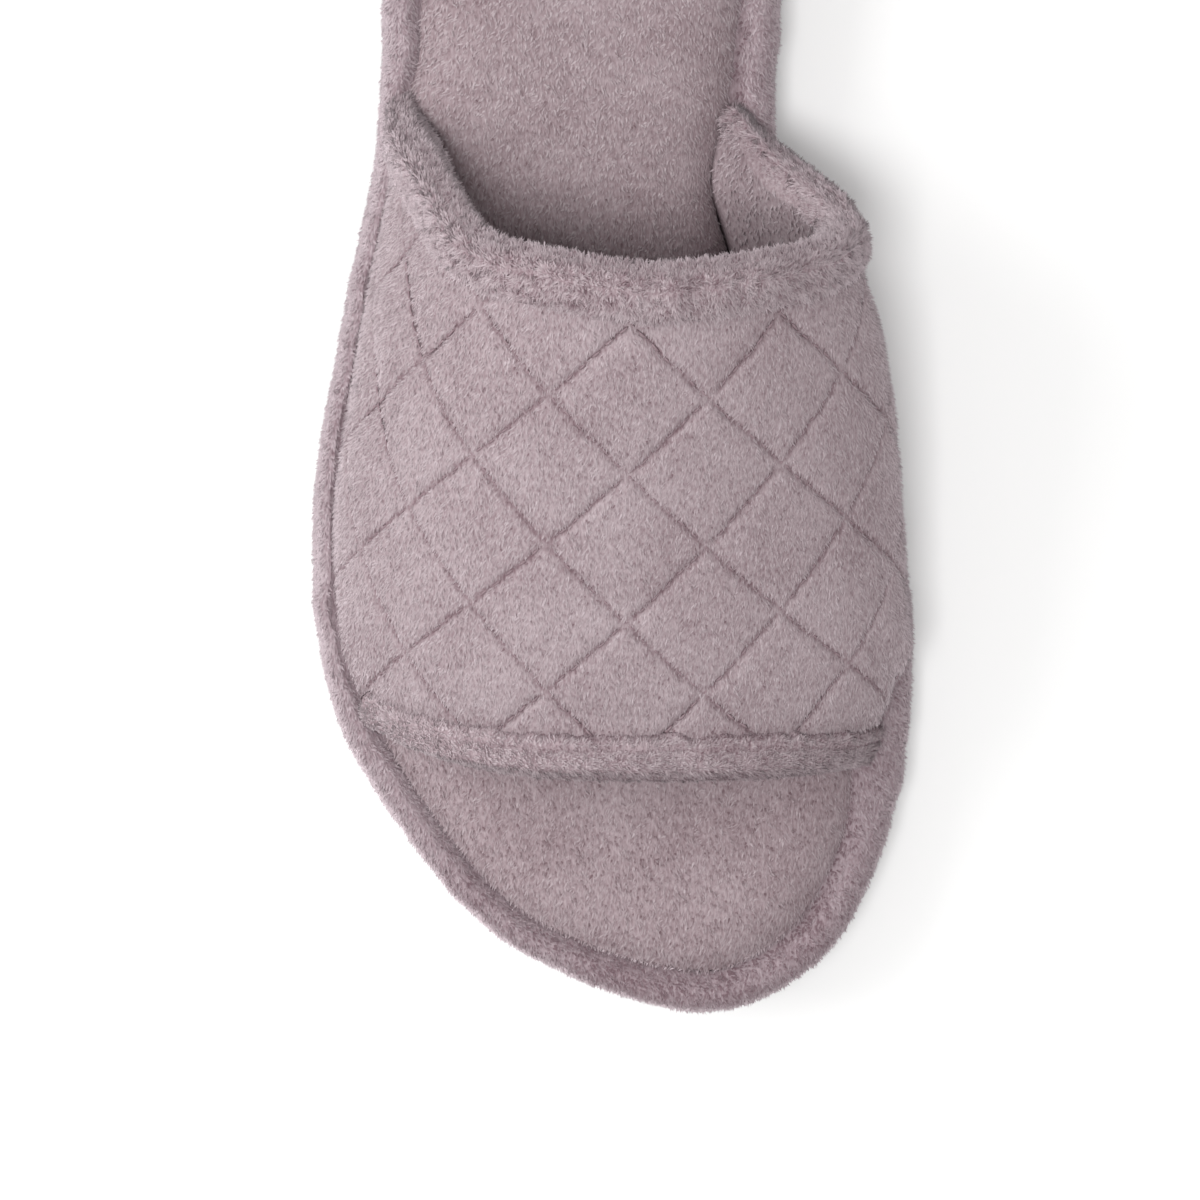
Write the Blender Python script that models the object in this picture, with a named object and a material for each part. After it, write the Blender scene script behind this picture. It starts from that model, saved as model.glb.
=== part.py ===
"""Right-foot slide slipper: open toe, open heel, quilted plush vamp on a plush-wrapped platform.

Frame: +Z up, toe towards -Y, heel towards +Y, big-toe side towards +X, and the origin on the floor
under the middle of the slipper. Sizes in this file are millimetres; meshes are written in metres.
"""

from collections import namedtuple

import bmesh
import bpy
import numpy as np

MM = 0.001
GAP = 0.3  # clearance between pieces that meet

# Driving sizes
LENGTH = 256.0
BALL_WIDTH = 104.5
OUTSOLE_THICKNESS = 4.0
FOREFOOT_SHELF = 15.0  # height of the platform's top under the ball of the foot
HEEL_SHELF = 20.0  # and under the heel
TOE_SPRING = 6.0  # lift of the toe tip off the floor
ARCH_LIFT = 2.0  # lift of the waist off the floor
WALL = 4.0  # quilted vamp: face cloth, wadding and lining
SEAM_WALL = 2.6  # the same wall pressed flat where it is caught in the sole seam
PILE_CLOTH = 1.7  # folded binding cloth, one layer

TOE_Y = -LENGTH / 2
SPRING_FROM_Y = -66.0  # the sole leaves the floor in front of this line
SHELF_RISE_Y = (-40.0, 70.0)  # the platform thickens between these lines
ARCH_Y = (-30.0, 5.0, 35.0, 70.0)  # the arch starts, is full, is full, ends


# Number helpers

def smooth_step(value, start, end):
    """0 before start, 1 after end, and an S-shaped rise between them."""
    share = np.clip((value - start) / (end - start), 0.0, 1.0)
    return share * share * (3.0 - 2.0 * share)


def read_between(stations, values, where):
    """Values between a table's rows, on cubic pieces that share each row's mean slope."""
    stations, values = np.asarray(stations, float), np.asarray(values, float)
    slopes = np.gradient(values, stations)
    row = np.clip(np.searchsorted(stations, where) - 1, 0, len(stations) - 2)
    span = stations[row + 1] - stations[row]
    t = np.clip((where - stations[row]) / span, 0.0, 1.0)
    before = values[row] * (1 + 2 * t) * (1 - t) ** 2 + values[row + 1] * t * t * (3 - 2 * t)
    return before + span * t * (1 - t) * (slopes[row] * (1 - t) - slopes[row + 1] * t)


def unit(vectors):
    return vectors / np.linalg.norm(vectors, axis=-1, keepdims=True)


# Heights along the foot

def toe_lift(y):
    return TOE_SPRING * np.clip((SPRING_FROM_Y - y) / (SPRING_FROM_Y - TOE_Y), 0.0, 1.0) ** 2


def ground_line(y):
    """Underside of the outsole: flat at heel and ball, lifted at the arch and the toe."""
    start, full, still_full, end = ARCH_Y
    arch = smooth_step(y, start, full) * (1.0 - smooth_step(y, still_full, end))
    return ARCH_LIFT * arch + toe_lift(y)


def shelf_line(y):
    """Top of the platform, inside its rolled rim."""
    return FOREFOOT_SHELF + (HEEL_SHELF - FOREFOOT_SHELF) * smooth_step(y, *SHELF_RISE_Y) + toe_lift(y)


# Outline of the sole, seen from above

OutlinePoint = namedtuple("OutlinePoint", "place along across")
# along is the share of the length from the toe, across the share of half the ball width
BIG_TOE_SIDE = (
    OutlinePoint("toe tip", 0.000, 0.31),
    OutlinePoint("big toe", 0.034, 0.68),
    OutlinePoint("big toe root", 0.113, 0.905),
    OutlinePoint("ball joint", 0.235, 1.00),
    OutlinePoint("arch front", 0.375, 0.91),
    OutlinePoint("arch", 0.520, 0.62),
    OutlinePoint("waist", 0.609, 0.52),
    OutlinePoint("heel front", 0.715, 0.565),
    OutlinePoint("heel side", 0.860, 0.67),
    OutlinePoint("heel corner", 0.966, 0.47),
    OutlinePoint("heel back", 1.000, 0.01),
)
LITTLE_TOE_SIDE = (
    OutlinePoint("heel corner", 0.965, -0.455),
    OutlinePoint("heel side", 0.860, -0.66),
    OutlinePoint("heel front", 0.703, -0.755),
    OutlinePoint("waist", 0.586, -0.785),
    OutlinePoint("arch", 0.461, -0.905),
    OutlinePoint("ball joint", 0.320, -1.00),
    OutlinePoint("little toe root", 0.200, -0.92),
    OutlinePoint("little toe", 0.122, -0.70),
    OutlinePoint("middle toes", 0.0465, -0.355),
)
OUTLINE_STEPS = 40  # points between two rows, for reading lengths and offsets
SIDE_STATIONS = 40  # mesh points from toe tip to heel back, on each side


def outline_loop():
    """The closed outline as fine points from the toe tip round the big-toe side, and the heel's place."""
    rows = BIG_TOE_SIDE + LITTLE_TOE_SIDE
    knots = np.array([[p.across * BALL_WIDTH / 2, TOE_Y + p.along * LENGTH] for p in rows])
    wrapped = np.vstack([knots[-3:], knots, knots[:4]])
    chord = np.concatenate([[0.0], np.cumsum(np.linalg.norm(np.diff(wrapped, axis=0), axis=1) ** 0.5)])
    ring = chord[3 : 4 + len(rows)]
    where = np.concatenate(
        [np.linspace(a, b, OUTLINE_STEPS, endpoint=False) for a, b in zip(ring[:-1], ring[1:])]
    )
    loop = np.stack([read_between(chord, wrapped[:, axis], where) for axis in (0, 1)], axis=1)
    return loop, (len(BIG_TOE_SIDE) - 1) * OUTLINE_STEPS


LOOP, HEEL_INDEX = outline_loop()
LOOP_INWARD = unit(
    np.stack(
        [
            -(np.roll(LOOP, -1, axis=0) - np.roll(LOOP, 1, axis=0))[:, 1],
            (np.roll(LOOP, -1, axis=0) - np.roll(LOOP, 1, axis=0))[:, 0],
        ],
        axis=1,
    )
)


def side_places():
    """Loop positions of the mesh points, evenly spaced along each side between toe tip and heel back."""
    closed = np.vstack([LOOP, LOOP[:1]])
    length = np.concatenate([[0.0], np.cumsum(np.linalg.norm(np.diff(closed, axis=0), axis=1))])
    big_toe = np.linspace(0.0, length[HEEL_INDEX], SIDE_STATIONS, endpoint=False)
    little_toe = np.linspace(length[HEEL_INDEX], length[-1], SIDE_STATIONS, endpoint=False)
    return np.interp(np.concatenate([big_toe, little_toe]), length, np.arange(len(closed)))


PLACES = side_places()
RING_SIZE = len(PLACES)


def ring(inset):
    """The outline moved inwards by inset, one size for all points or one for each."""
    index = np.arange(len(LOOP) + 1) % len(LOOP)
    read = [
        np.interp(PLACES, np.arange(len(LOOP) + 1), column[index])
        for column in (LOOP[:, 0], LOOP[:, 1], LOOP_INWARD[:, 0], LOOP_INWARD[:, 1])
    ]
    x, y, inward_x, inward_y = read
    return np.stack([x + inward_x * inset, y + inward_y * inset], axis=1)


def side_x(inset_at, y, big_toe_side):
    """Across position at y, on one side, of the outline moved inwards by inset_at of each point."""
    part = slice(0, HEEL_INDEX) if big_toe_side else slice(HEEL_INDEX, len(LOOP))
    moved = LOOP[part] + LOOP_INWARD[part] * inset_at(LOOP[part])[:, None]
    order = np.argsort(moved[:, 1])
    return np.interp(y, moved[order, 1], moved[order, 0])


# Mesh helpers

SHARP_ANGLE = np.radians(50.0)  # edges that turn more than this are shaded as corners


def make_object(name, vertices, faces, material):
    mesh = bpy.data.meshes.new(name)
    mesh.from_pydata((np.asarray(vertices) * MM).tolist(), [], [list(map(int, f)) for f in faces])
    shell = bmesh.new()
    shell.from_mesh(mesh)
    bmesh.ops.recalc_face_normals(shell, faces=shell.faces)
    shell.to_mesh(mesh)
    shell.free()
    mesh.shade_smooth()
    mesh.set_sharp_from_angle(angle=SHARP_ANGLE)
    mesh.materials.append(material)
    made = bpy.data.objects.new(name, mesh)
    bpy.context.scene.collection.objects.link(made)
    return made


def band_faces(rows, size, closed=True):
    """Quads between rows of points laid end to end, each row a ring (closed) or a line of that size."""
    steps = np.arange(size if closed else size - 1)
    after = (steps + 1) % size
    return [
        (row * size + a, row * size + b, (row + 1) * size + b, (row + 1) * size + a)
        for row in range(rows - 1)
        for a, b in zip(steps, after)
    ]


def ring_cap(first, facing_up):
    """Faces that fill one ring by joining each side's points straight across the foot."""
    faces = []
    for step in range(SIDE_STATIONS):
        right, next_right = step, step + 1
        left, next_left = (RING_SIZE - step) % RING_SIZE, RING_SIZE - step - 1
        face = [first + i for i in dict.fromkeys((right, next_right, next_left, left))]
        faces.append(face if facing_up else face[::-1])
    return faces


def plain_material(name, colour, roughness):
    made = bpy.data.materials.new(name)
    made.use_nodes = True
    shader = made.node_tree.nodes["Principled BSDF"]
    shader.inputs["Base Color"].default_value = (*colour, 1.0)
    shader.inputs["Roughness"].default_value = roughness
    shader.inputs["Metallic"].default_value = 0.0
    return made


# Outsole and platform: rings of the outline stacked from the floor up

SideRow = namedtuple("SideRow", "place inset share rise")
# share runs from the piece's underside (0) to its top (1), and rise is added to that height
OUTSOLE_SIDE = (
    SideRow("tread edge", 4.0, 0.0, 0.0),
    SideRow("lower bevel", 2.6, 0.0, 1.2),
    SideRow("top edge", 2.2, 1.0, 0.0),
)
PLATFORM_SIDE = (
    SideRow("bottom edge", 2.6, 0.0, 0.0),
    SideRow("lower roll", 0.7, 0.0, 1.6),
    SideRow("side", 0.0, 0.45, 0.0),
    SideRow("shoulder", 0.35, 0.88, 0.0),
    SideRow("rim outside", 1.5, 1.0, 1.1),
    SideRow("rim top", 3.4, 1.0, 2.2),
    SideRow("rim inside", 5.3, 1.0, 1.2),
    SideRow("crease", 6.2, 1.0, 0.0),
)
CREASE_INSET = PLATFORM_SIDE[-1].inset
PLATFORM_BASE = OUTSOLE_THICKNESS + GAP
LITTLE_TOE_RIM = 0.85  # share of the rows' insets on the little-toe side
BIG_TOE_RIM = 1.25  # and on the big-toe side
PRESSED_RIM = 0.34  # on the little-toe side where the vamp's wall presses against the rim
PRESSED_FROM_Y = (-86.0, -62.0)
PRESSED_TO_Y = (26.0, 40.0)
RIM_TURN_X = (-35.0, 40.0)  # the rim widens between these lines


def rim_share(outline):
    """Share of the side rows' insets at outline points: wide on the big-toe side, pressed beside the vamp."""
    x, y = outline[:, 0], outline[:, 1]
    pressed = smooth_step(y, *PRESSED_FROM_Y) * (1.0 - smooth_step(y, *PRESSED_TO_Y))
    little = LITTLE_TOE_RIM + (PRESSED_RIM - LITTLE_TOE_RIM) * pressed
    return little + (BIG_TOE_RIM - little) * smooth_step(x, *RIM_TURN_X)


def stacked(name, side_rows, low_line, high_line, material):
    """A closed solid whose sides follow the side rows between two height lines."""
    rings = []
    for row in side_rows:
        plan = ring(row.inset * rim_share(ring(0.0)))
        low, high = low_line(plan[:, 1]), high_line(plan[:, 1])
        rings.append(np.column_stack([plan, low + row.share * (high - low) + row.rise]))
    faces = band_faces(len(rings), RING_SIZE)
    faces += ring_cap(0, facing_up=False)
    faces += ring_cap((len(rings) - 1) * RING_SIZE, facing_up=True)
    return make_object(name, np.vstack(rings), faces, material)


def build_outsole(material):
    return stacked(
        "outsole", OUTSOLE_SIDE, ground_line, lambda y: ground_line(y) + OUTSOLE_THICKNESS, material
    )


def build_platform(material):
    return stacked(
        "platform", PLATFORM_SIDE, lambda y: ground_line(y) + PLATFORM_BASE, shelf_line, material
    )


# Vamp: the one curved wall of the upper, read from cross sections of the foot

Section = namedtuple(
    "Section", "y peak_x peak_z little_lean little_rise little_flat big_lean big_rise big_flat"
)
# Each side climbs from the sole seam, leaning outwards by lean degrees, to the peak of the instep.
# rise is how straight it climbs, and flat how level it leaves the peak, as shares of height and width.
SECTIONS = (
    Section(-110.0, 3.0, 37.0, 4.0, 0.14, 0.78, -20.0, 0.58, 0.68),
    Section(-86.0, 2.0, 43.0, 6.0, 0.14, 0.785, -16.0, 0.58, 0.68),
    Section(-76.0, 1.4, 46.7, 6.0, 0.14, 0.8, 26.0, 0.58, 0.67),
    Section(-68.0, 0.9, 49.8, 5.5, 0.14, 0.815, 39.5, 0.58, 0.66),
    Section(-55.0, 0.5, 55.0, 5.0, 0.145, 0.845, 38.0, 0.58, 0.65),
    Section(-40.0, 0.0, 61.0, 6.0, 0.16, 0.88, 38.0, 0.58, 0.64),
    Section(-5.0, -1.0, 76.0, 11.0, 0.18, 0.89, 45.0, 0.58, 0.65),
    Section(10.0, -1.0, 80.0, 17.0, 0.17, 0.77, 42.0, 0.58, 0.65),
    Section(25.0, -1.0, 83.0, 21.0, 0.155, 0.67, 24.0, 0.58, 0.63),
    Section(50.0, -1.0, 85.0, 22.0, 0.15, 0.62, 20.0, 0.58, 0.63),
)


def seam_inset(outline):
    """Inset of the vamp's outer face at the sole seam, for outline points."""
    return CREASE_INSET * rim_share(outline) + GAP


EdgePoint = namedtuple("EdgePoint", "place girth y")
# girth runs from the little-toe seam (0) over the instep (0.5) to the big-toe seam (1)
HEM_LINE = (
    EdgePoint("little-toe seam", 0.0, -76.5),
    EdgePoint("little-toe side", 0.25, -83.2),
    EdgePoint("over the toes", 0.5, -84.5),
    EdgePoint("big-toe side", 0.75, -84.5),
    EdgePoint("big-toe seam", 1.0, -84.5),
)
COLLAR_LINE = (
    EdgePoint("little-toe seam", 0.0, 31.5),
    EdgePoint("little-toe wall", 0.125, 20.0),
    EdgePoint("little-toe shoulder", 0.25, 6.2),
    EdgePoint("little-toe side of the instep", 0.375, 1.5),
    EdgePoint("instep", 0.5, -0.8),
    EdgePoint("big-toe side of the instep", 0.625, 1.0),
    EdgePoint("big-toe shoulder", 0.75, 5.0),
    EdgePoint("big-toe wall", 0.875, 13.3),
    EdgePoint("big-toe seam", 1.0, 29.5),
)
LITTLE_SPREAD = 0.5  # evens the girths out along the little-toe side, which climbs slowly at first
GIRTH_STEPS = 54
LENGTH_STEPS = 24
SEAM_TAPER = 0.10  # share of the girth over which the wall grows to its full thickness
GIRTH_NUDGE = 1e-3  # small steps for reading the face's slopes, along the girth
Y_NUDGE = 0.05  # and along the foot


def column(rows, field, where, by="y"):
    return read_between([getattr(r, by) for r in rows], [getattr(r, field) for r in rows], where)


def edge_y(line, girth):
    return column(line, "y", girth, by="girth")


def wall_point(girth, y):
    """A point of the vamp's outer face: each half section is one cubic from sole seam to peak."""
    girth, y = np.broadcast_arrays(np.asarray(girth, float), np.asarray(y, float))
    big = girth > 0.5
    climb = np.clip(2.0 * np.where(big, 1.0 - girth, girth), 0.0, 1.0)
    climb = climb + np.where(big, 0.0, LITTLE_SPREAD) * climb * (1.0 - climb)
    seam_x = np.where(big, side_x(seam_inset, y, True), side_x(seam_inset, y, False))
    seam_z = shelf_line(y) + GAP
    peak_x, peak_z = column(SECTIONS, "peak_x", y), column(SECTIONS, "peak_z", y)
    outward = np.where(big, 1.0, -1.0)
    lean = np.radians(np.where(big, column(SECTIONS, "big_lean", y), column(SECTIONS, "little_lean", y)))
    rise = np.where(big, column(SECTIONS, "big_rise", y), column(SECTIONS, "little_rise", y))
    flat = np.where(big, column(SECTIONS, "big_flat", y), column(SECTIONS, "little_flat", y))
    reach = rise * (peak_z - seam_z)
    x_knots = (seam_x, seam_x + outward * reach * np.tan(lean), peak_x + flat * (seam_x - peak_x), peak_x)
    z_knots = (seam_z, seam_z + reach, peak_z, peak_z)
    weights = ((1 - climb) ** 3, 3 * climb * (1 - climb) ** 2, 3 * climb**2 * (1 - climb), climb**3)
    x = sum(w * k for w, k in zip(weights, x_knots))
    z = sum(w * k for w, k in zip(weights, z_knots))
    return np.stack([x, y, z], axis=-1)


def wall_slopes(girth, y):
    """Rates of change of the outer face along the girth and along the foot."""
    along_girth = wall_point(girth + GIRTH_NUDGE, y) - wall_point(girth - GIRTH_NUDGE, y)
    along_foot = wall_point(girth, y + Y_NUDGE) - wall_point(girth, y - Y_NUDGE)
    return along_girth / (2 * GIRTH_NUDGE), along_foot / (2 * Y_NUDGE)


def wall_normal(girth, y):
    along_girth, along_foot = wall_slopes(np.clip(girth, 2 * GIRTH_NUDGE, 1.0 - 2 * GIRTH_NUDGE), y)
    return unit(np.cross(along_girth, along_foot))


def wall_layer(girth, y, offset):
    """A point held off the vamp's outer face by offset, outwards if positive."""
    return wall_point(girth, y) + np.asarray(offset)[..., None] * wall_normal(girth, y)


def wall_thickness(girth):
    from_seam = np.minimum(girth, 1.0 - girth)
    return SEAM_WALL + (WALL - SEAM_WALL) * smooth_step(from_seam, 0.0, SEAM_TAPER)


def build_upper(material):
    girth, share = np.meshgrid(
        np.linspace(0.0, 1.0, GIRTH_STEPS + 1), np.linspace(0.0, 1.0, LENGTH_STEPS + 1), indexing="ij"
    )
    y = edge_y(HEM_LINE, girth) * (1 - share) + edge_y(COLLAR_LINE, girth) * share
    outer = wall_point(girth, y)
    inner = wall_layer(girth, y, -wall_thickness(girth))
    inner[[0, -1], :, 2] = outer[[0, -1], :, 2]
    size = LENGTH_STEPS + 1
    outer_faces = band_faces(GIRTH_STEPS + 1, size, closed=False)
    shift = (GIRTH_STEPS + 1) * size
    inner_faces = [tuple(i + shift for i in reversed(f)) for f in outer_faces]
    border = [step * size for step in range(GIRTH_STEPS + 1)]
    border += [GIRTH_STEPS * size + step for step in range(1, size)]
    border += [step * size + size - 1 for step in range(GIRTH_STEPS - 1, -1, -1)]
    border += [step for step in range(size - 2, 0, -1)]
    rim_faces = [(a, b, b + shift, a + shift) for a, b in zip(border, border[1:] + border[:1])]
    points = np.stack([outer, inner]).reshape(-1, 3)
    return make_object("upper", points, outer_faces + inner_faces + rim_faces, material)


# Bindings: pile cloth folded over the vamp's two free edges

FoldRow = namedtuple("FoldRow", "place back layers skin")
# back is the distance from the vamp's edge, layers 0 on its outer and 1 on its inner face,
# and skin the share of the cloth's thickness beyond the clearance
COLLAR_FOLD = (
    FoldRow("outer hem", 8.2, 0, 0.00),
    FoldRow("outer hem top", 7.4, 0, 0.70),
    FoldRow("outer face", 4.4, 0, 1.05),
    FoldRow("outer turn", 0.6, 0, 0.95),
    FoldRow("roll", -1.8, 0.5, 0.00),
    FoldRow("inner turn", 0.6, 1, 0.75),
    FoldRow("inner face", 2.2, 1, 0.70),
    FoldRow("inner hem top", 3.9, 1, 0.50),
    FoldRow("inner hem", 4.7, 1, 0.00),
    FoldRow("slot inside, half way", 2.2, 1, 0.00),
    FoldRow("slot inside", -GAP, 1, 0.00),
    FoldRow("slot outside", -GAP, 0, 0.00),
    FoldRow("slot outside, half way", 4.2, 0, 0.00),
)
TOE_FOLD = (
    FoldRow("outer hem", 8.0, 0, 0.00),
    FoldRow("outer hem top", 7.3, 0, 0.70),
    FoldRow("outer face", 4.0, 0, 1.00),
    FoldRow("outer turn", 0.6, 0, 0.90),
    FoldRow("roll", -2.0, 0.5, 0.00),
    FoldRow("inner turn", 0.6, 1, 0.90),
    FoldRow("inner hem top", 6.3, 1, 0.70),
    FoldRow("inner hem", 7.0, 1, 0.00),
    FoldRow("slot inside", -GAP, 1, 0.00),
    FoldRow("slot outside", -GAP, 0, 0.00),
)
BINDING_STEPS = 66
FoldEnds = namedtuple("FoldEnds", "outer inner")
# girths that the outer and inner layers stay above: the outer clears the rim, the inner the footbed
COLLAR_ENDS = FoldEnds(0.020, 0.030)
TOE_ENDS = FoldEnds(0.090, 0.107)
END_SLANT = 0.006  # the fold's edge starts this much higher than its outer hem


def folded(name, line, towards_vamp, fold_rows, ends, material):
    """A fold row by row round the edge line, each row a line of points along the vamp's own face."""
    start = ends.outer + END_SLANT
    girth = np.linspace(start, 1.0 - start, BINDING_STEPS + 1)
    y = edge_y(line, girth)
    along_girth, along_foot = wall_slopes(girth, y)
    slope_y = np.gradient(y, girth)[:, None]
    tangent = unit(along_girth + along_foot * slope_y)
    across = np.cross(wall_normal(girth, y), tangent)
    across *= np.where(np.sum(across * along_foot, axis=1, keepdims=True) * towards_vamp > 0, 1.0, -1.0)
    plane = np.stack([along_girth, along_foot], axis=2)
    turn = np.linalg.pinv(plane) @ across[:, :, None]
    rows = []
    for row in fold_rows:
        lowest = ends.outer + row.layers * (ends.inner - ends.outer)
        where = np.clip(girth + turn[:, 0, 0] * row.back, lowest, 1.0 - lowest)
        skin = row.skin * PILE_CLOTH + GAP
        offset = skin - row.layers * (wall_thickness(where) + 2.0 * skin)
        rows.append(wall_layer(where, y + turn[:, 1, 0] * row.back, offset))
    points = np.stack(rows)
    size = BINDING_STEPS + 1
    faces = band_faces(len(fold_rows) + 1, size, closed=False)
    faces = [tuple(i % (len(fold_rows) * size) for i in f) for f in faces]
    faces.append([row * size for row in range(len(fold_rows))])
    faces.append([row * size + size - 1 for row in range(len(fold_rows))])
    return make_object(name, points.reshape(-1, 3), faces, material)


# Insole: the padded footbed, set between the platform's rim and the vamp's wall

BESIDE_WALL = 3.7  # footbed edge beyond the sole seam where the vamp's wall stands between them
WALL_END_BLEND = 9.0
PAD_EDGE = 2.0  # height of the footbed's edge above the shelf
PAD_CROWN = 6.5  # further rise towards the middle
PAD_SOFTNESS = 5.0  # how far in from the edge most of that rise happens
HEEL_CUP = 2.0
HEEL_CENTRE_Y = 84.0
HEEL_CUP_RADIUS = 30.0
PAD_COLUMNS = 6
PAD_SIDE = ((1.0, GAP), (0.0, 1.1))  # inset from the footbed's edge, height above the shelf
PAD_RINGS = (0.0, 1.2, 3.0, 6.0, 10.0)  # insets of the padded top's rounded border


def footbed_inset():
    """Inset of the footbed's edge for each ring point: wider where the vamp's wall comes down beside it."""
    seam = seam_inset(ring(0.0))
    y = ring(seam)[:, 1]
    big_toe_side = np.arange(RING_SIZE) < SIDE_STATIONS
    front = np.where(big_toe_side, HEM_LINE[-1].y, HEM_LINE[0].y)
    back = np.where(big_toe_side, COLLAR_LINE[-1].y, COLLAR_LINE[0].y)
    walled = smooth_step(y, front - WALL_END_BLEND, front) * (1 - smooth_step(y, back, back + WALL_END_BLEND))
    return seam + BESIDE_WALL * walled


def footbed_point(plan, from_edge):
    """Points of the padded top: a soft border that flattens inwards, hollowed under the heel."""
    pad = PAD_EDGE + PAD_CROWN * (1.0 - np.exp(-from_edge / PAD_SOFTNESS))
    from_heel = np.hypot(plan[:, 0], plan[:, 1] - HEEL_CENTRE_Y)
    cup = HEEL_CUP * (1.0 - smooth_step(from_heel, 0.0, HEEL_CUP_RADIUS))
    return np.column_stack([plan, shelf_line(plan[:, 1]) + pad - cup])


def build_insole(material):
    inset = footbed_inset()
    rings = []
    for further_in, height in PAD_SIDE:
        plan = ring(inset + further_in)
        rings.append(np.column_stack([plan, shelf_line(plan[:, 1]) + height]))
    rings += [footbed_point(ring(inset + further_in), further_in) for further_in in PAD_RINGS]
    border = np.vstack(rings)
    faces = band_faces(len(rings), RING_SIZE) + ring_cap(0, facing_up=False)
    last_ring = (len(rings) - 1) * RING_SIZE
    stations = np.arange(1, SIDE_STATIONS)
    edge, inner_edge = ring(inset), ring(inset + PAD_RINGS[-1])
    share = np.linspace(0.0, 1.0, PAD_COLUMNS + 1)[1:-1, None]
    plan = inner_edge[stations, None] * (1 - share) + inner_edge[RING_SIZE - stations, None] * share
    plan = plan.reshape(-1, 2)
    from_edge = np.linalg.norm(plan[:, None] - edge[None], axis=2).min(axis=1)
    middle = footbed_point(plan, from_edge)
    inner = len(border) + np.arange(len(middle)).reshape(len(stations), PAD_COLUMNS - 1)
    grid = np.column_stack([last_ring + stations, inner, last_ring + RING_SIZE - stations])
    for lower, upper in zip(grid[:-1], grid[1:]):
        faces += [(lower[i], upper[i], upper[i + 1], lower[i + 1]) for i in range(PAD_COLUMNS)]
    toe, heel = last_ring, last_ring + SIDE_STATIONS
    faces += [(toe, grid[0][i], grid[0][i + 1]) for i in range(PAD_COLUMNS)]
    faces += [(heel, grid[-1][i + 1], grid[-1][i]) for i in range(PAD_COLUMNS)]
    return make_object("insole", np.vstack([border, middle]), faces, material)


# Assembly

MAUVE_PLUSH = (0.36, 0.29, 0.31)
MAUVE_LIGHT = (0.40, 0.33, 0.35)
MAUVE_DEEP = (0.32, 0.25, 0.27)
OUTSOLE_GREY = (0.20, 0.17, 0.18)


def main():
    for existing in list(bpy.data.objects):
        bpy.data.objects.remove(existing)
    outsole_rubber = plain_material("outsole_rubber", OUTSOLE_GREY, 0.75)
    wrap_plush = plain_material("wrap_plush", MAUVE_DEEP, 0.95)
    footbed_plush = plain_material("footbed_plush", MAUVE_PLUSH, 0.95)
    vamp_plush = plain_material("vamp_plush", MAUVE_LIGHT, 0.95)
    binding_plush = plain_material("binding_plush", MAUVE_DEEP, 0.95)
    build_outsole(outsole_rubber)
    build_platform(wrap_plush)
    build_insole(footbed_plush)
    build_upper(vamp_plush)
    folded("collar_binding", COLLAR_LINE, -1.0, COLLAR_FOLD, COLLAR_ENDS, binding_plush)
    folded("toe_binding", HEM_LINE, 1.0, TOE_FOLD, TOE_ENDS, binding_plush)


main()
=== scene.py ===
"""Looks of a right-foot slide slipper: tread, plush wrap, padded footbed, quilted vamp and its bindings.

Lengths are millimetres in the part's own frame: toe towards -Y, big-toe side towards +X, floor at zero.
Meshes are written in metres.
"""

from collections import namedtuple

import bmesh
import bpy
import numpy as np
from mathutils import Matrix


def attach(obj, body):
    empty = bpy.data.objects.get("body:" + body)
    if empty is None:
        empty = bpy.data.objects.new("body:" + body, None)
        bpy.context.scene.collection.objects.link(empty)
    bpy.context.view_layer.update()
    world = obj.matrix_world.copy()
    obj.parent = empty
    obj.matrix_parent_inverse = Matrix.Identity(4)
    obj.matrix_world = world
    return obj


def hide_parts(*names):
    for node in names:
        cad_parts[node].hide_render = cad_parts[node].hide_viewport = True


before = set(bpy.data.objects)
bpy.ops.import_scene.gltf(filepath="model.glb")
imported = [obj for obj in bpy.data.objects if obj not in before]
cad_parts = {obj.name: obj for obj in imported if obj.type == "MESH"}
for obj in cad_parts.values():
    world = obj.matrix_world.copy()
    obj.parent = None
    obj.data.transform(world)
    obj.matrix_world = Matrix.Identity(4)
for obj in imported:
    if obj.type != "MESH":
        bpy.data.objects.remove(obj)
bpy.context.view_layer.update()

# Outsole
# A thin moulded rubber sole, glued under the wrapped platform a little inside its edge. It lies flat at
# heel and ball, lifts at the arch and the toe, and has shallow wavy tread grooves inside a plain border.

MM = 0.001
GAP = 0.3  # clearance between pieces that meet
LENGTH = 256.0
BALL_WIDTH = 104.5
OUTSOLE_THICKNESS = 4.0
TOE_SPRING = 6.0
ARCH_LIFT = 2.0
TOE_Y = -LENGTH / 2
SPRING_FROM_Y = -66.0
ARCH_Y = (-30.0, 5.0, 35.0, 70.0)  # the arch starts, is full, is full, ends
SHORTEST_VECTOR = 1e-12
WELD_DISTANCE = 1e-7  # in metres


def smooth_step(value, start, end):
    """0 before start, 1 after end, and an S-shaped rise between them."""
    share = np.clip((value - start) / (end - start), 0.0, 1.0)
    return share * share * (3.0 - 2.0 * share)


def read_between(stations, values, where):
    """Values between a table's rows, on cubic pieces that share each row's mean slope."""
    stations, values = np.asarray(stations, float), np.asarray(values, float)
    slopes = np.gradient(values, stations)
    row = np.clip(np.searchsorted(stations, where) - 1, 0, len(stations) - 2)
    span = stations[row + 1] - stations[row]
    t = np.clip((where - stations[row]) / span, 0.0, 1.0)
    level = values[row] * (1 + 2 * t) * (1 - t) ** 2 + values[row + 1] * t * t * (3 - 2 * t)
    return level + span * t * (1 - t) * (slopes[row] * (1 - t) - slopes[row + 1] * t)


def grown(least, value, start, end):
    """least before start, 1 after end, and an S-shaped rise between them."""
    return least + (1.0 - least) * smooth_step(value, start, end)


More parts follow.
